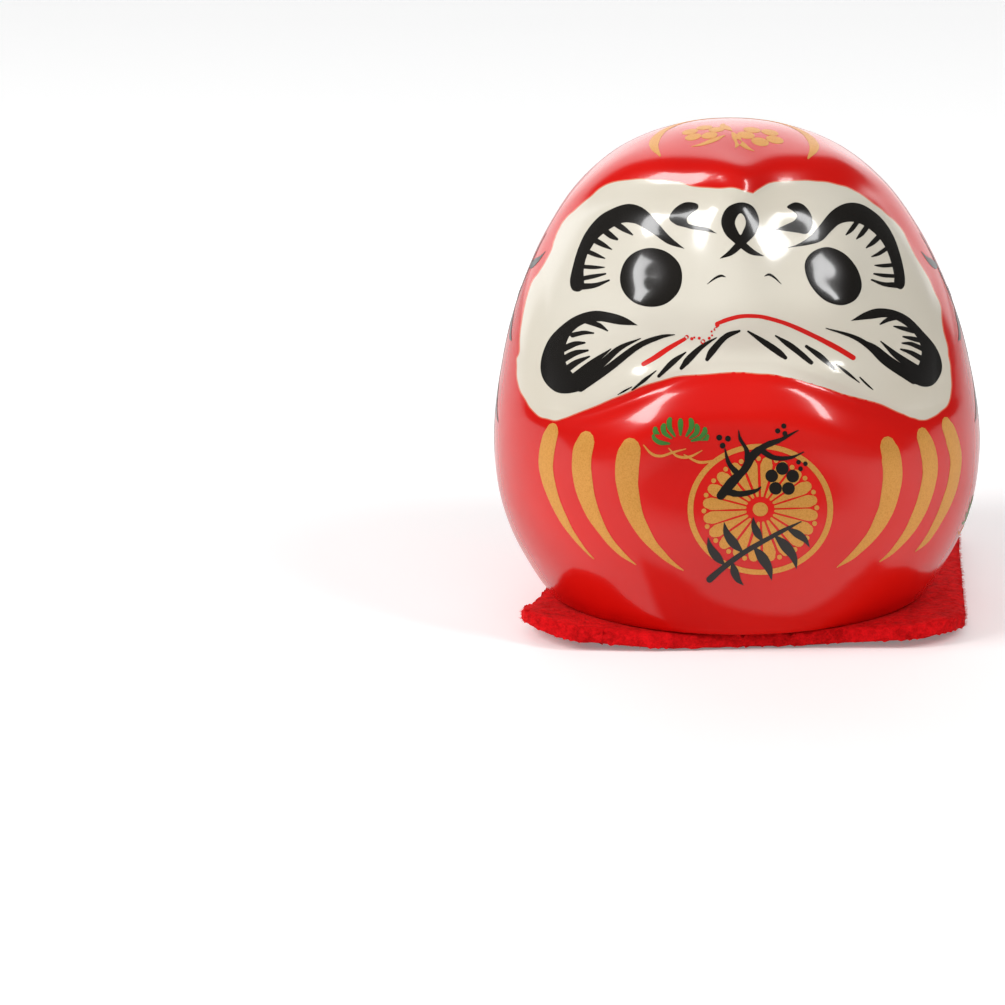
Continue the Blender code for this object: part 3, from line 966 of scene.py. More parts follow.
# %% Mouth
MOUTH_SHORT = [(-11.6, 10.1, 0.55), (-10.2, 10.9, 0.65), (-8.4, 12.1, 0.6), (-6.5, 13.2, 0.45)]
MOUTH_LONG = [(-2.5, 15.1, 0.5), (-1.2, 15.6, 0.5), (0.4, 16.0, 0.5), (2.0, 16.05, 0.5),
              (3.6, 15.85, 0.5), (6.4, 15.0, 0.55), (9.5, 13.6, 0.6), (12.4, 12.1, 0.65),
              (14.4, 10.9, 0.65)]
TORN_GAP = [(-6.3, 13.6), (-5.4, 13.1), (-4.3, 12.9), (-3.3, 13.5), (-2.7, 14.4), (-2.4, 14.9)]
mouth = [brush(MOUTH_SHORT, wobble=0.05, seed=9), brush(MOUTH_LONG, wobble=0.05, seed=8)]
paint("mouth_line", mouth, MOUTH_RED, lift=0.05)
crumbs = np.random.default_rng(14)
specks = [
    wandering(circle(spot + crumbs.normal(0, 0.14, 2), crumbs.uniform(0.13, 0.30), 10), 0.05, i)
    for i, spot in enumerate(smooth_line(TORN_GAP, 5)[::2])
]
paint("mouth_crumbs", specks, MOUTH_RED, lift=ON_WHITE + 3 * LAYER, cell=1.5)

# %% [markdown]
# ## Gold ribs
# Three leaf-shaped strokes on each side of the belly stand for the folds of the robe. Each is
# one brush stroke that swells upwards, given as (girth, height, width) and laid on with the
# wall chart, because they run round to the flanks, where the face chart would stretch them.

# %% Gold ribs
RIBS = {
    "rib_left_outer": [(-19.2, 9.4, 0.1), (-20.8, 10.9, 0.6), (-22.7, 13.3, 1.3), (-24.6, 16.6, 2.1),
                       (-25.8, 19.9, 2.8), (-25.6, 22.6, 2.8), (-25.0, 24.3, 2.3)],
    "rib_left_middle": [(-13.0, 9.4, 0.1), (-15.1, 11.0, 0.9), (-17.0, 13.4, 1.5), (-18.7, 16.6, 2.4),
                        (-19.4, 19.9, 3.0), (-19.4, 22.6, 3.1), (-19.0, 24.0, 2.8)],
    "rib_left_inner": [(-6.8, 9.1, 0.1), (-8.8, 10.6, 0.8), (-10.9, 13.1, 1.5), (-12.6, 16.5, 2.4),
                       (-13.2, 19.8, 2.8), (-12.9, 22.6, 2.9), (-12.4, 24.1, 2.6)],
    "rib_right_inner": [(13.0, 9.0, 0.1), (15.0, 10.5, 1.0), (17.3, 12.9, 1.8), (19.0, 16.1, 2.5),
                        (19.5, 19.3, 2.9), (19.3, 22.1, 3.0), (18.9, 23.5, 2.6)],
    "rib_right_middle": [(19.3, 9.0, 0.1), (21.5, 10.5, 1.0), (23.6, 12.9, 2.0), (25.3, 16.1, 2.7),
                         (26.2, 19.3, 3.1), (25.9, 22.0, 3.0), (25.2, 23.7, 2.3)],
    "rib_right_outer": [(25.5, 9.2, 0.1), (27.5, 10.7, 1.4), (29.3, 13.1, 2.2), (31.4, 16.4, 2.9),
                        (32.3, 19.6, 3.1), (31.5, 22.4, 2.9), (30.5, 24.1, 2.2)],
}
for rib, stroke in RIBS.items():
    paint(rib, [wandering(brush(stroke), 0.05, len(rib))], GOLD, chart=wall_chart)

# %% [markdown]
# ## Crest
# A thin ring round an open flower of rounded petals, in the same gold, then two brush motifs
# over it in black: a plum blossom above and bamboo leaves below. They are plants only.

# %% Crest
CREST_AT, CREST_WIDE, CREST_TALL = (2.9, -7.9), 9.0, 8.1
CREST_SQUASH = CREST_TALL / CREST_WIDE
PETALS = 20
PETAL_TURN = math.tau / PETALS
PETAL_START, PETAL_END, PETAL_WIDTH = 1.9, 7.2, 1.5
RING_OUTSIDE, RING_INSIDE = CREST_WIDE + 0.02, CREST_WIDE - 0.68


def on_crest(radius, angle):
    """A point of the crest, which is a little wider than it is tall."""
    return (CREST_AT[0] + radius * math.cos(angle), CREST_AT[1] + radius * math.sin(angle) * CREST_SQUASH)


def petal(angle):
    """One rounded petal of the flower, as an outline."""
    length = PETAL_END - PETAL_START
    spine = [(PETAL_START, PETAL_WIDTH * 0.22), (PETAL_START + 0.35 * length, PETAL_WIDTH * 0.55),
             (PETAL_START + 0.75 * length, PETAL_WIDTH), (PETAL_END - PETAL_WIDTH * 0.45, PETAL_WIDTH * 0.86)]
    return brush([(*on_crest(radius, angle), width) for radius, width in spine])


paint("crest_ring", [circle(CREST_AT, RING_OUTSIDE, 96, CREST_SQUASH)], GOLD, cell=0.7,
      holes=[circle(CREST_AT, RING_INSIDE, 96, CREST_SQUASH)])
paint("crest_petals", [petal(PETAL_TURN * (i + 0.6)) for i in range(PETALS)], GOLD)
paint("crest_tips", [circle(on_crest(7.0, PETAL_TURN * (i + 0.1)), 0.3, 12) for i in range(PETALS)], GOLD)
paint("crest_centre", [circle(CREST_AT, 0.95, 32, CREST_SQUASH)], GOLD)

# %% [markdown]
# ## Plants in black and green
# Over the crest go two ink plants, a plum spray above and bamboo below, with a pine tuft on a
# gold twig at the upper left. They are drawn as a potter would: few strokes, each in one go.

# %% Plum spray
INK = plain_glaze("black_ink", (0.010, 0.009, 0.008), (0.018, 0.015, 0.012), roughness=0.3, coat=0.5)
PLUM = {
    "plum_branch": [
        [(-2.0, -6.2, 1.2), (-0.5, -4.4, 1.25), (0.9, -3.0, 0.9), (2.0, -1.2, 1.05), (3.6, 0.0, 0.8),
         (5.4, 0.7, 0.5), (7.6, 1.9, 0.1)]],
    "plum_twigs": [
        [(1.4, -2.3, 0.9), (1.2, -0.6, 0.6), (0.4, 0.8, 0.45), (0.2, 1.9, 0.1)],
        [(0.2, -3.6, 0.8), (-1.0, -2.2, 0.55), (-1.5, -0.4, 0.15)]],
    "plum_shoots": [
        [(3.0, -0.6, 0.7), (4.6, -1.5, 0.55), (6.6, -1.5, 0.4), (8.3, -0.8, 0.1)],
        [(-1.6, -5.6, 1.0), (0.3, -6.0, 0.7), (2.3, -5.6, 0.45), (3.0, -5.1, 0.15)]],
}


def blossom(at, size, count=5, turn=0.3):
    """Rounded petals round a centre."""
    petals = []
    for i in range(count):
        angle = i * math.tau / count + turn
        middle = (at[0] + size * 0.62 * math.cos(angle), at[1] + size * 0.62 * math.sin(angle))
        petals.append(wandering(circle(middle, size * 0.36, 20), 0.02, i))
    return petals


for i, (growth, strokes) in enumerate(PLUM.items()):
    inked = [brush(stroke, wobble=0.16, seed=40 + 10 * i + k) for k, stroke in enumerate(strokes)]
    paint(growth, inked, INK, lift=ON_GOLD + LAYER * i)
buds = [*blossom((-1.7, 0.6), 1.0, 3, 0.4), *blossom((5.6, 1.9), 0.9, 3, 1.2), *blossom((8.0, -2.4), 0.8, 3)]
paint("plum_flower", blossom((5.6, -4.2), 2.2), INK, lift=ON_GOLD)
paint("plum_buds", buds, INK, lift=ON_GOLD + 3 * LAYER)

# %% Bamboo spray
def leaf(base, tip, width, droop=0.0):
    """A bamboo leaf: one pressed and lifted stroke."""
    base, tip = np.array(base, float), np.array(tip, float)
    side = np.array([-(tip - base)[1], (tip - base)[0]]) * droop
    spots = [base, base + 0.35 * (tip - base) + side * 0.8, base + 0.7 * (tip - base) + side, tip]
    return brush([(*spot, w) for spot, w in zip(spots, (0.12, width, width * 0.75, 0.05))])


BAMBOO_STEM = [(-3.4, -16.6, 0.8), (-1.4, -14.9, 0.7), (0.8, -13.3, 0.65), (3.2, -11.9, 0.6),
               (5.6, -10.6, 0.5), (8.0, -9.4, 0.15)]
BAMBOO_LEAVES = [
    leaf((-1.4, -14.9), (-3.6, -11.4), 1.05, 0.1), leaf((0.8, -13.3), (-1.6, -9.5), 1.15, 0.1),
    leaf((3.2, -11.9), (2.0, -8.9), 0.95, 0.08), leaf((-0.6, -14.4), (0.8, -17.3), 1.0, -0.1),
    leaf((2.0, -12.5), (4.3, -16.7), 1.25, 0.08), leaf((4.6, -11.1), (7.4, -15.3), 1.25, 0.1),
    leaf((6.2, -10.3), (9.0, -12.6), 0.95, 0.1),
]
paint("bamboo_stem", [brush(BAMBOO_STEM, wobble=0.12, seed=71)], INK, lift=ON_GOLD)
paint("bamboo_leaves", BAMBOO_LEAVES, INK, lift=0.054)

# %% Pine tuft and gold twig
PINE_AT, PINE_HEART, NEEDLE_WIDTH = (-7.0, 0.35), 1.1, 0.66
# Each finger: its direction in degrees and how far it reaches.
NEEDLES = ((-6, 2.7), (14, 3.0), (36, 2.8), (60, 3.3), (90, 3.1),
           (120, 3.4), (144, 2.9), (166, 3.1), (186, 2.7))


def needle(angle, reach):
    """One soft finger of the tuft, curling upwards at the tip."""
    line = []
    for share, thick in ((0.0, 0.4), (0.5, 0.9), (0.85, 1.0), (1.0, 0.8)):
        r = PINE_HEART + share * (reach - PINE_HEART)
        a = angle + 0.45 * share**2 * math.cos(angle)
        spot = (PINE_AT[0] + 1.3 * r * math.cos(a), PINE_AT[1] + 0.9 * r * math.sin(a))
        line.append((*spot, NEEDLE_WIDTH * thick))
    return brush(line)


paint("pine_tuft", [needle(math.radians(a), reach) for a, reach in NEEDLES], PINE_GREEN, lift=0.05)
TWIGS = [
    [(-11.6, 0.1, 0.12), (-10.6, -1.0, 0.3), (-9.4, -1.3, 0.3), (-7.8, -0.8, 0.25), (-6.3, -0.4, 0.1)],
    [(-8.5, -0.3, 0.1), (-7.4, -1.3, 0.3), (-5.9, -1.4, 0.3), (-4.3, -0.6, 0.1)],
    [(-6.6, -1.1, 0.12), (-4.9, -2.0, 0.32), (-3.5, -2.0, 0.3), (-2.1, -1.6, 0.12)],
]
for i, twig in enumerate(TWIGS):
    paint(f"gold_twig_{i}", [brush(twig)], GOLD, lift=ON_RED + LAYER * i)

# %% [markdown]
# ## Crown ring and side sprays
# A broken brush ring in gold sits on the crown, with two flowers and a few leaves in it. It is
# laid with the crown chart. The ink sprays on both flanks use the wall chart.

# %% Crown
CROWN_AT, CROWN_RADIUS = (0.4, -5.0), 9.5
ring_angles = np.radians(np.linspace(-25, 205, 15))
ring_widths = [0.15, 0.9, 1.3, 1.25, 1.1, 1.0, 0.95, 0.9, 0.95, 1.0, 1.1, 1.25, 1.3, 0.9, 0.15]
crown_ring = [(CROWN_AT[0] + CROWN_RADIUS * math.cos(a), CROWN_AT[1] + CROWN_RADIUS * math.sin(a), w)
              for a, w in zip(ring_angles, ring_widths)]
paint("crown_ring", [brush(crown_ring, wobble=0.06, seed=90)], GOLD, chart=crown_chart)
crown_flowers = [*blossom((-3.3, -4.6), 2.7, 5, 0.2), *blossom((3.6, -5.6), 2.9, 5, 0.9)]
paint("crown_flowers", crown_flowers, GOLD, chart=crown_chart)
crown_leaves = [leaf((0.2, -5.4), (0.6, -9.6), 1.0, 0.1), leaf((0.2, -5.0), (-0.8, -1.2), 1.0, 0.1),
                leaf((-0.6, -6.4), (-4.6, -8.4), 0.9, 0.1), leaf((0.8, -7.4), (2.8, -9.8), 0.8, -0.1)]
paint("crown_leaves", crown_leaves, GOLD, chart=crown_chart, lift=0.035)

# %% Flank sprays
STALK = ((47.0, 14.0, 1.1), (46.0, 22.0, 1.0), (46.5, 30.0, 0.9), (45.5, 38.0, 0.7), (45.0, 45.0, 0.2))
# Each leaf: girth and height of its base, how far from there its tip is, and its width.
FLANK_LEAVES = (
    (45.6, 41.0, -5.0, 2.6, 1.2), (45.8, 36.0, -5.6, -3.4, 1.3), (46.2, 38.0, 6.5, -4.0, 1.4),
    (46.5, 30.0, 7.0, -4.6, 1.5), (46.0, 27.0, -5.4, -4.6, 1.3), (46.2, 22.0, 6.0, -3.6, 1.3),
)
SPRIG_AT, SPRIG_REACH = (41.5, 9.5), 3.4
FLANK_TWIG = [(37.5, 9.2, 0.1), (39.6, 8.4, 0.35), (42.0, 8.8, 0.35), (45.0, 8.0, 0.1)]
for side, name in ((-1, "left"), (1, "right")):
    stalk = [(side * girth, h, width) for girth, h, width in STALK]
    leaves = [leaf((side * girth, h), (side * (girth + round_by), h + up_by), width, side * 0.1)
              for girth, h, round_by, up_by, width in FLANK_LEAVES]
    paint(f"flank_stalk_{name}", [brush(stalk, wobble=0.1, seed=100)], INK, chart=wall_chart, cell=0.8)
    paint(f"flank_leaves_{name}", leaves, INK, chart=wall_chart, lift=0.036, cell=0.8)
sprig = []
for a in np.radians((20, 45, 70, 95, 120, 145, 170)):
    tip = (SPRIG_AT[0] + SPRIG_REACH * math.cos(a), SPRIG_AT[1] + SPRIG_REACH * math.sin(a))
    sprig.append(leaf(SPRIG_AT, tip, 0.6))
paint("flank_pine", sprig, PINE_GREEN, chart=wall_chart)
paint("flank_twig", [brush(FLANK_TWIG)], GOLD, chart=wall_chart)

# %% [markdown]
# ## Felt mat
# A cut square of pressed felt. Its front corners lift a little because felt keeps a curl, and
# loose fibres stand off the cut edge.

# %% Felt finish
FELT_DEEP, FELT_BRIGHT = (0.46, 0.001, 0.002), (0.90, 0.006, 0.010)


def felt_finish():
    material, tree, shader = new_finish("red_felt", 0.95, specular=0.15)
    fine = math_node(tree, "MULTIPLY", noise_node(tree, 1500.0, 4.0, 0.7), 0.6)
    matted = math_node(tree, "MULTIPLY", noise_node(tree, 330.0, 3.0, 0.6), 0.4)
    shade = math_node(tree, "ADD", fine, matted)
    colour = ramp_node(tree, shade, ((0.34, FELT_DEEP), (0.60, FELT_BRIGHT)))
    tree.links.new(colour, shader.inputs["Base Color"])
    shader.inputs["Sheen Weight"].default_value = 0.12
    shader.inputs["Sheen Roughness"].default_value = 0.4
    shader.inputs["Sheen Tint"].default_value = (1.0, 0.12, 0.10, 1.0)
    bump(tree, shader, shade, 0.9, 0.0005)
    return material


RED_FELT = felt_finish()
print("felt:", RED_FELT.name)

# %% [markdown]
# The mat is a filled outline given its thickness, with a fine grid of points, so that its top
# can be worn round at the edge, roughed up, and curled along the front.

# %% Felt mat
MAT_SIDE, MAT_CORNER, MAT_TURN = 56.0, 8.0, math.radians(-2.0)
MAT_X = (MAT_LOW.x + MAT_HIGH.x) / 2
MAT_Y = (MAT_LOW.y + MAT_HIGH.y) / 2
MAT_TOP = 1.85

# It was cut by eye: the left edge slants in (a share of the half side, along the edge).
SLANT_AT, SLANT_BY = (-28, -22, 0, 6, 28), (0.945, 0.955, 0.83, 0.81, 0.81)
# The front edge curls up (millimetres off the table, from left to right).
CURL_AT = (-28, -26, -23, -19, -15, -11, -7, 0, 7, 15, 21, 25, 28)
CURL_BY = (2.6, 2.1, 1.5, 0.9, 0.5, 0.2, 0.0, 0.0, 0.15, 0.5, 0.9, 1.3, 1.4)


def cut_short(flat):
    """The square as it was really cut: its front edge also runs short towards the right."""
    moved = np.array(flat, float)
    moved[:, 1] += 2.2 * smooth_step(-16.0, 12.0, flat[:, 0]) * smooth_step(-4.0, -28.0, flat[:, 1])
    slant = np.interp(flat[:, 1], SLANT_AT, SLANT_BY)
    moved[:, 0] *= np.where(flat[:, 0] < 0, slant, 0.98)
    return moved


def curl(x, y):
    """How far the felt lifts off the table, in millimetres: its front corners curl."""
    return np.interp(x, CURL_AT, CURL_BY) * smooth_step(-12.0, -27.0, y)


def mat_outline():
    """A square with round corners, cut by eye."""
    inset = MAT_SIDE / 2 - MAT_CORNER
    ring = []
    for k, (cx, cy) in enumerate(((1, 1), (-1, 1), (-1, -1), (1, -1))):
        for a in np.linspace(0, math.pi / 2, 12):
            angle = a + k * math.pi / 2
            x, y = MAT_CORNER * math.cos(angle), MAT_CORNER * math.sin(angle)
            ring.append((cx * inset + x, cy * inset + y))
    return wandering(cut_short(evenly(np.array(ring), 0.5)), 0.10, 21)


mat_ring = mat_outline()
mat = filled_flat("felt_mat_sheet", [mat_ring], [])
cut_to_cells(mat, 0.7, whole=True)
slab = mat.modifiers.new("felt", "SOLIDIFY")
slab.thickness = MAT_TOP
slab.offset = -1.0
apply_all(mat)
flat = points_of(mat)
on_top = flat[:, 2] > -MAT_TOP / 2


def on_mat(flat, height):
    """Felt coordinates (from its middle) and a height to the frame."""
    c, s = math.cos(MAT_TURN), math.sin(MAT_TURN)
    return np.stack([MAT_X + (flat[:, 0] * c - flat[:, 1] * s) / 1000,
                     MAT_Y + (flat[:, 0] * s + flat[:, 1] * c) / 1000, height / 1000], -1)


def clear_of_foot(flat):
    """1 well away from the doll's foot, 0 under it."""
    x, y = flat[:, 0] - (DOLL_X - MAT_X) * 1000, flat[:, 1] - (DOLL_Y - MAT_Y) * 1000
    return smooth_step(22.0, 25.0, np.hypot(x, y / SQUEEZE))


worn = 0.6 * np.clip(1 - depth_inside(mat_ring, flat[:, :2]) / 0.7, 0, 1) ** 2
nap = np.random.default_rng(5).normal(0, 0.05, len(flat)) * clear_of_foot(flat)
height = np.where(on_top, MAT_TOP - worn + nap, 0.02 + 0.5 * worn)
height += curl(flat[:, 0], flat[:, 1]) * clear_of_foot(flat)
put_points(mat, on_mat(flat, height))
clean_bench()
mat.select_set(True)
bpy.context.view_layer.objects.active = mat
bpy.ops.object.shade_smooth_by_angle(angle=math.radians(50))
mat.data.materials.append(RED_FELT)
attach(mat, "mat")
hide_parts("felt_mat")
print("mat:", len(mat.data.polygons), "faces")

# %% [markdown]
# Loose fibres make felt read as felt. Each is a short bent line on the top or along the cut
# edge; as splines of one curve they all get the same round section, thinner at the tip.

# %% Felt fibres
FIBRES, FIBRE_STEPS, FIBRE_RADIUS, RIM_SHARE = 5200, 3, 0.022, 0.40
ON_TOP_RISE = (0.16, 0.04, -0.05)
hair_rng = np.random.default_rng(31)
rim = evenly(mat_ring, 0.02)
spread = hair_rng.uniform(-MAT_SIDE / 2, MAT_SIDE / 2, (FIBRES, 2))
on_rim = hair_rng.random(FIBRES) < RIM_SHARE
spread[on_rim] = rim[hair_rng.integers(0, len(rim), on_rim.sum())]
inside_mat = depth_inside(mat_ring, spread) > 0
keep = (on_rim | inside_mat) & (clear_of_foot(spread) > 0.99)
roots, at_rim = spread[keep], on_rim[keep]
level = np.where(at_rim, hair_rng.uniform(0.15, 1.5, len(roots)), MAT_TOP) + curl(roots[:, 0], roots[:, 1])
outward = np.arctan2(roots[:, 1], roots[:, 0]) + hair_rng.normal(0, 0.9, len(roots))
heading = np.where(at_rim, outward, hair_rng.uniform(0, math.tau, len(roots)))
lengths = np.where(at_rim, hair_rng.uniform(0.2, 0.6, len(roots)), hair_rng.uniform(0.35, 1.0, len(roots)))
bend = hair_rng.normal(0, 0.9, len(roots))
spine = [np.column_stack([roots, level])]
for k in range(FIBRE_STEPS):
    angle = heading + bend * k / FIBRE_STEPS
    rise = np.where(at_rim, hair_rng.normal(0, 0.10, len(roots)), ON_TOP_RISE[k])
    move = np.column_stack([np.cos(angle), np.sin(angle), rise]) * (lengths / FIBRE_STEPS)[:, None]
    spine.append(spine[-1] + move)
spine = np.stack(spine, 1)
spine[..., 2] = np.clip(spine[..., 2], 0.05, None)
clean_bench()
curve = bpy.data.curves.new("felt_fibres", "CURVE")
curve.dimensions = "3D"
curve.bevel_depth = FIBRE_RADIUS / 1000
curve.bevel_resolution = 0
curve.use_fill_caps = True
ones = np.ones((FIBRE_STEPS + 1, 1))
bends = spine.reshape(-1, 3)
for line in on_mat(bends[:, :2], bends[:, 2]).reshape(-1, FIBRE_STEPS + 1, 3):
    fibre = curve.splines.new("POLY")
    fibre.points.add(FIBRE_STEPS)
    fibre.points.foreach_set("co", np.hstack([line, ones]).ravel())
    fibre.points.foreach_set("radius", (1.0, 0.8, 0.6, 0.35))
fibres = bpy.data.objects.new("felt_fibres", curve)
bpy.context.scene.collection.objects.link(fibres)
bpy.context.view_layer.objects.active = fibres
fibres.select_set(True)
bpy.ops.object.convert(target="MESH")
fibres = take(bpy.context.object, "felt_fibres")
fibres.data.materials.append(RED_FELT)
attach(fibres, "mat")
print("fibres:", len(roots))

# %% [markdown]
# ## Vent plug
# A soft bung closes the hole in the foot: a tapered plug with a flange and a hollow top. It is
# turned like the egg, from one profile of (radius, height over its lowest point).

# %% Vent plug
PLUG_Z = (PLUG_LOW.z - FOOT_Z) * 1000
PLUG_PROFILE = [
    (0.0, 5.7), (3.0, 5.7), (3.1, 6.0), (3.3, 8.5), (3.5, 8.7), (4.4, 8.7), (4.8, 8.4), (4.95, 8.0),
    (5.7, 2.1), (5.7, 1.3), (5.8, 1.2), (7.4, 1.2), (7.7, 1.05), (7.8, 0.8), (7.7, 0.15), (7.5, 0.0),
    (3.0, 0.0), (2.7, 0.1), (2.2, 0.5), (1.8, 0.6), (0.0, 0.6),
]
plug = spun_piece("soft_plug", np.array(PLUG_PROFILE) + (0.0, PLUG_Z), 96)
put_points(plug, in_world(points_of(plug)))

# %% Plug finish
RUBBER_DEEP, RUBBER_BRIGHT = (0.55, 0.52, 0.44), (0.68, 0.65, 0.58)
RUBBER, rubber_tree, rubber_shader = new_finish("plug_rubber", 0.5, specular=0.4)
cloud = noise_node(rubber_tree, 260.0, 3.0, 0.6)
colour = ramp_node(rubber_tree, cloud, ((0.3, RUBBER_DEEP), (0.7, RUBBER_BRIGHT)))
rubber_tree.links.new(colour, rubber_shader.inputs["Base Color"])
bump(rubber_tree, rubber_shader, noise_node(rubber_tree, 2500.0, 2.0, 0.6), 0.3, 0.00008)
plug.data.materials.append(RUBBER)
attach(plug, "plug")
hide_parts("vent_plug")
print("plug:", len(plug.data.polygons), "faces")

# %% [markdown]
# ## Table, lights and camera
# A plain pale table in soft light. A glaze shows what it mirrors, so the room is built for it:
# a tall box at the left, a narrow one at the right, a bright backdrop behind, and little else.
# An even wash, which the glaze doesn't mirror, lights the rest. The table's colour is painted by kind of
# ray: the camera sees a painted glow that makes it a little brighter, as if lit from all round, while
# mirrored rays find painted reflections on it, red beside the felt and dark ahead of it.

# %% Table
clean_bench()
bpy.ops.mesh.primitive_plane_add(size=6.0, location=(0, 0, -0.0002))
table = take(bpy.context.object, "table")
# The table itself is white; the dark and the red are painted reflections that only mirrored rays see.
TABLE_WHITE, PAINTED_DARK_REFLECTION, PAINTED_RED_REFLECTION = (0.93, 0.93, 0.93), (0.06, 0.06, 0.06), (0.50, 0.01, 0.01)
TABLE_AND_PAINTED_LIGHT, table_tree, table_shader = new_finish("table_and_painted_light", 0.9, specular=0.1)
spot = table_tree.nodes.new("ShaderNodeSeparateXYZ")
table_tree.links.new(table_tree.nodes.new("ShaderNodeTexCoord").outputs["Object"], spot.inputs[0])
rays = table_tree.nodes.new("ShaderNodeLightPath").outputs


def on_table(operation, a, b, clamp=False):
    return math_node(table_tree, operation, a, b, clamp)


def past(value, edge, sharpness):
    """0 before an edge, 1 past it."""
    return on_table("MULTIPLY", on_table("SUBTRACT", value, edge), sharpness, clamp=True)


# In metres from the middle of the doll's foot: the front, right side and slanting corner of the patch of
# painted red reflection, how much its front steps back and from where, and where the painted dark reflection
# begins.
RED_FRONT, RED_RIGHT, RED_CORNER = -0.0325, 0.029, 0.0095
STEP_BACK, STEP_FROM, DARK_FROM = 0.008, -0.012, -0.046
# How strong the painted glow is all round, and how much more it is behind the doll.
PAINTED_GLOW_ALL_ROUND, PAINTED_GLOW_BEHIND = 0.20, 0.15
across = on_table("SUBTRACT", spot.outputs["X"], DOLL_X)
along = on_table("SUBTRACT", spot.outputs["Y"], DOLL_Y)
# Painted reflection: mirrored rays find the table red here, beside the felt.
front_edge = on_table("ADD", on_table("MULTIPLY", past(across, STEP_FROM, 48.0), STEP_BACK), RED_FRONT)
painted_felt_reflection = on_table("MULTIPLY", past(along, front_edge, 600.0), past(across, RED_RIGHT, -600.0))
painted_felt_reflection = on_table("MULTIPLY", painted_felt_reflection, past(on_table("SUBTRACT", across, along), RED_CORNER, 500.0))
painted_felt_reflection = on_table("MULTIPLY", painted_felt_reflection, rays["Is Glossy Ray"])
# Painted reflection: mirrored rays find the table dark ahead of the doll.
painted_dark_ahead = on_table("MULTIPLY", past(along, DARK_FROM, -45.0), rays["Is Glossy Ray"])
floor = mix_colours(table_tree, painted_dark_ahead, TABLE_WHITE, PAINTED_DARK_REFLECTION)
floor = mix_colours(table_tree, painted_felt_reflection, floor, PAINTED_RED_REFLECTION)
table_tree.links.new(floor, table_shader.inputs["Base Color"])
# Painted glow: the camera alone sees the table a little brighter all round, and more behind the doll.
lift = on_table("ADD", on_table("MULTIPLY", past(along, 0.0, 4.0), PAINTED_GLOW_BEHIND), PAINTED_GLOW_ALL_ROUND)
lift = on_table("MULTIPLY", lift, rays["Is Camera Ray"])
glow = mix_colours(table_tree, lift, (0.0, 0.0, 0.0), (1.0, 1.0, 1.0))
table_tree.links.new(glow, table_shader.inputs["Emission Color"])
table_shader.inputs["Emission Strength"].default_value = 1.0
table.data.materials.append(TABLE_AND_PAINTED_LIGHT)
print("table at", round(table.location.z * 1000, 1), "mm")

# %% Lights
DOLL_MIDDLE = Vector((DOLL_X, DOLL_Y, FOOT_Z + 0.03))


def softbox(name, azimuth, elevation, distance, width, height, radiance):
    """An area light seen from the doll at an azimuth from the front, to the viewer's right."""
    a, e = math.radians(azimuth), math.radians(elevation)
    where = Vector((math.sin(a) * math.cos(e), -math.cos(a) * math.cos(e), math.sin(e))) * distance
    data = bpy.data.lights.new(name, "AREA")
    data.shape = "RECTANGLE"
    data.size, data.size_y = width, height
    data.energy = radiance * math.pi * width * height
    light = bpy.data.objects.new(name, data)
    bpy.context.scene.collection.objects.link(light)
    light.location = DOLL_MIDDLE + where
    light.rotation_euler = (-where).to_track_quat("-Z", "Y").to_euler()


softbox("box_left", -64, 36, 0.65, 0.16, 0.28, 15.0)
softbox("box_right", 59, 41, 0.65, 0.08, 0.30, 17.0)

# An even wash over doll and table; the glaze doesn't mirror it.
wash = bpy.data.lights.new("wash", "SUN")
wash.energy = 0.9
wash.angle = math.radians(70)
wash_lamp = bpy.data.objects.new("wash", wash)
bpy.context.scene.collection.objects.link(wash_lamp)
wash_lamp.rotation_euler = (math.radians(36), 0, math.radians(-12))
wash_lamp.visible_glossy = False
print("lights:", list(bpy.data.lights.keys()))

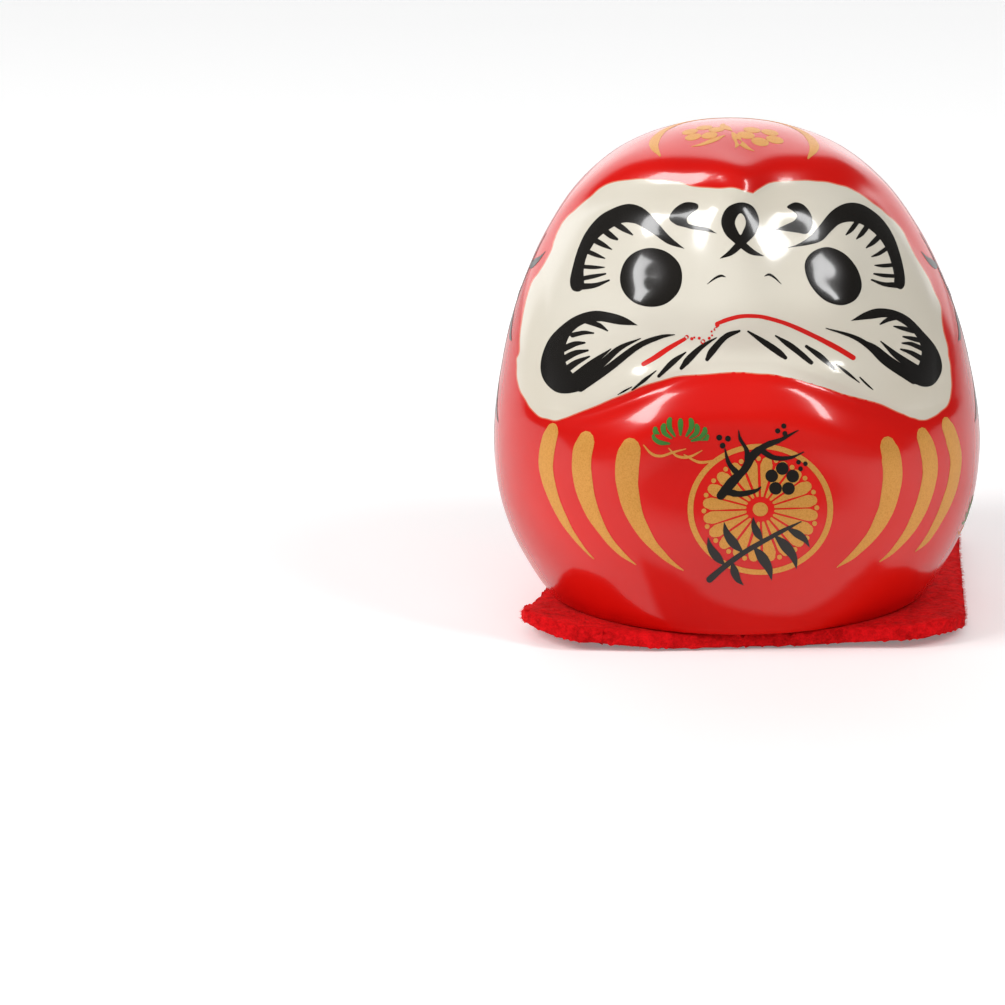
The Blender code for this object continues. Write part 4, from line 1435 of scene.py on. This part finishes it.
# %% Room
# How bright the backdrop and the rest of the room are; the camera sees plain white instead.
BACKDROP, ROOM = 1.45, 0.06
BACKDROP_EDGE, EDGE_SHARPNESS, LEFTWARD = 0.55, 8.0, 0.14
world = bpy.data.worlds.new("room")
bpy.context.scene.world = world
world.use_nodes = True
sky = world.node_tree
background = sky.nodes["Background"]
seen = sky.nodes.new("ShaderNodeLightPath")
facing = sky.nodes.new("ShaderNodeSeparateXYZ")
sky.links.new(sky.nodes.new("ShaderNodeTexCoord").outputs["Generated"], facing.inputs[0])
sidelong = math_node(sky, "MULTIPLY", facing.outputs["X"], LEFTWARD)
rearward = math_node(sky, "SUBTRACT", facing.outputs["Y"], sidelong)
behind = math_node(sky, "SUBTRACT", rearward, BACKDROP_EDGE)
behind = math_node(sky, "MULTIPLY", behind, EDGE_SHARPNESS, clamp=True)
glow = math_node(sky, "ADD", math_node(sky, "MULTIPLY", behind, BACKDROP - ROOM), ROOM)
unseen = math_node(sky, "SUBTRACT", 1.0, seen.outputs["Is Camera Ray"])
brightness = math_node(sky, "ADD", seen.outputs["Is Camera Ray"], math_node(sky, "MULTIPLY", glow, unseen))
sky.links.new(brightness, background.inputs["Strength"])
background.inputs["Color"].default_value = (1.0, 1.0, 1.0, 1.0)
print("room:", world.name)

# %% [markdown]
# The camera looks slightly down from arm's length. The same angle and distance shaped the face
# chart, so the face is seen as it was drawn. The lens follows from how wide the view is at the
# doll, and a shift puts the doll off the middle without turning the camera.

# %% Camera
FRAME_WIDTH = 124.535
SENSOR_WIDTH = 36.0
camera_data = bpy.data.cameras.new("camera")
camera_data.sensor_width = SENSOR_WIDTH
camera_data.lens = SENSOR_WIDTH * EYE_DISTANCE / FRAME_WIDTH
camera_data.clip_start = 0.01
camera = bpy.data.objects.new("camera", camera_data)
bpy.context.scene.collection.objects.link(camera)
target = Vector((DOLL_X, DOLL_Y, FOOT_Z + EYE_LEVEL / 1000))
towards = Vector((0, math.cos(EYE_ANGLE), -math.sin(EYE_ANGLE)))
camera.location = target - towards * (EYE_DISTANCE / 1000)
camera.rotation_euler = towards.to_track_quat("-Z", "Y").to_euler()
camera_data.shift_x = -0.2333
camera_data.shift_y = -0.0566
bpy.context.scene.camera = camera
bpy.context.scene.view_settings.view_transform = "Standard"
print("lens:", round(camera_data.lens, 1), "mm")
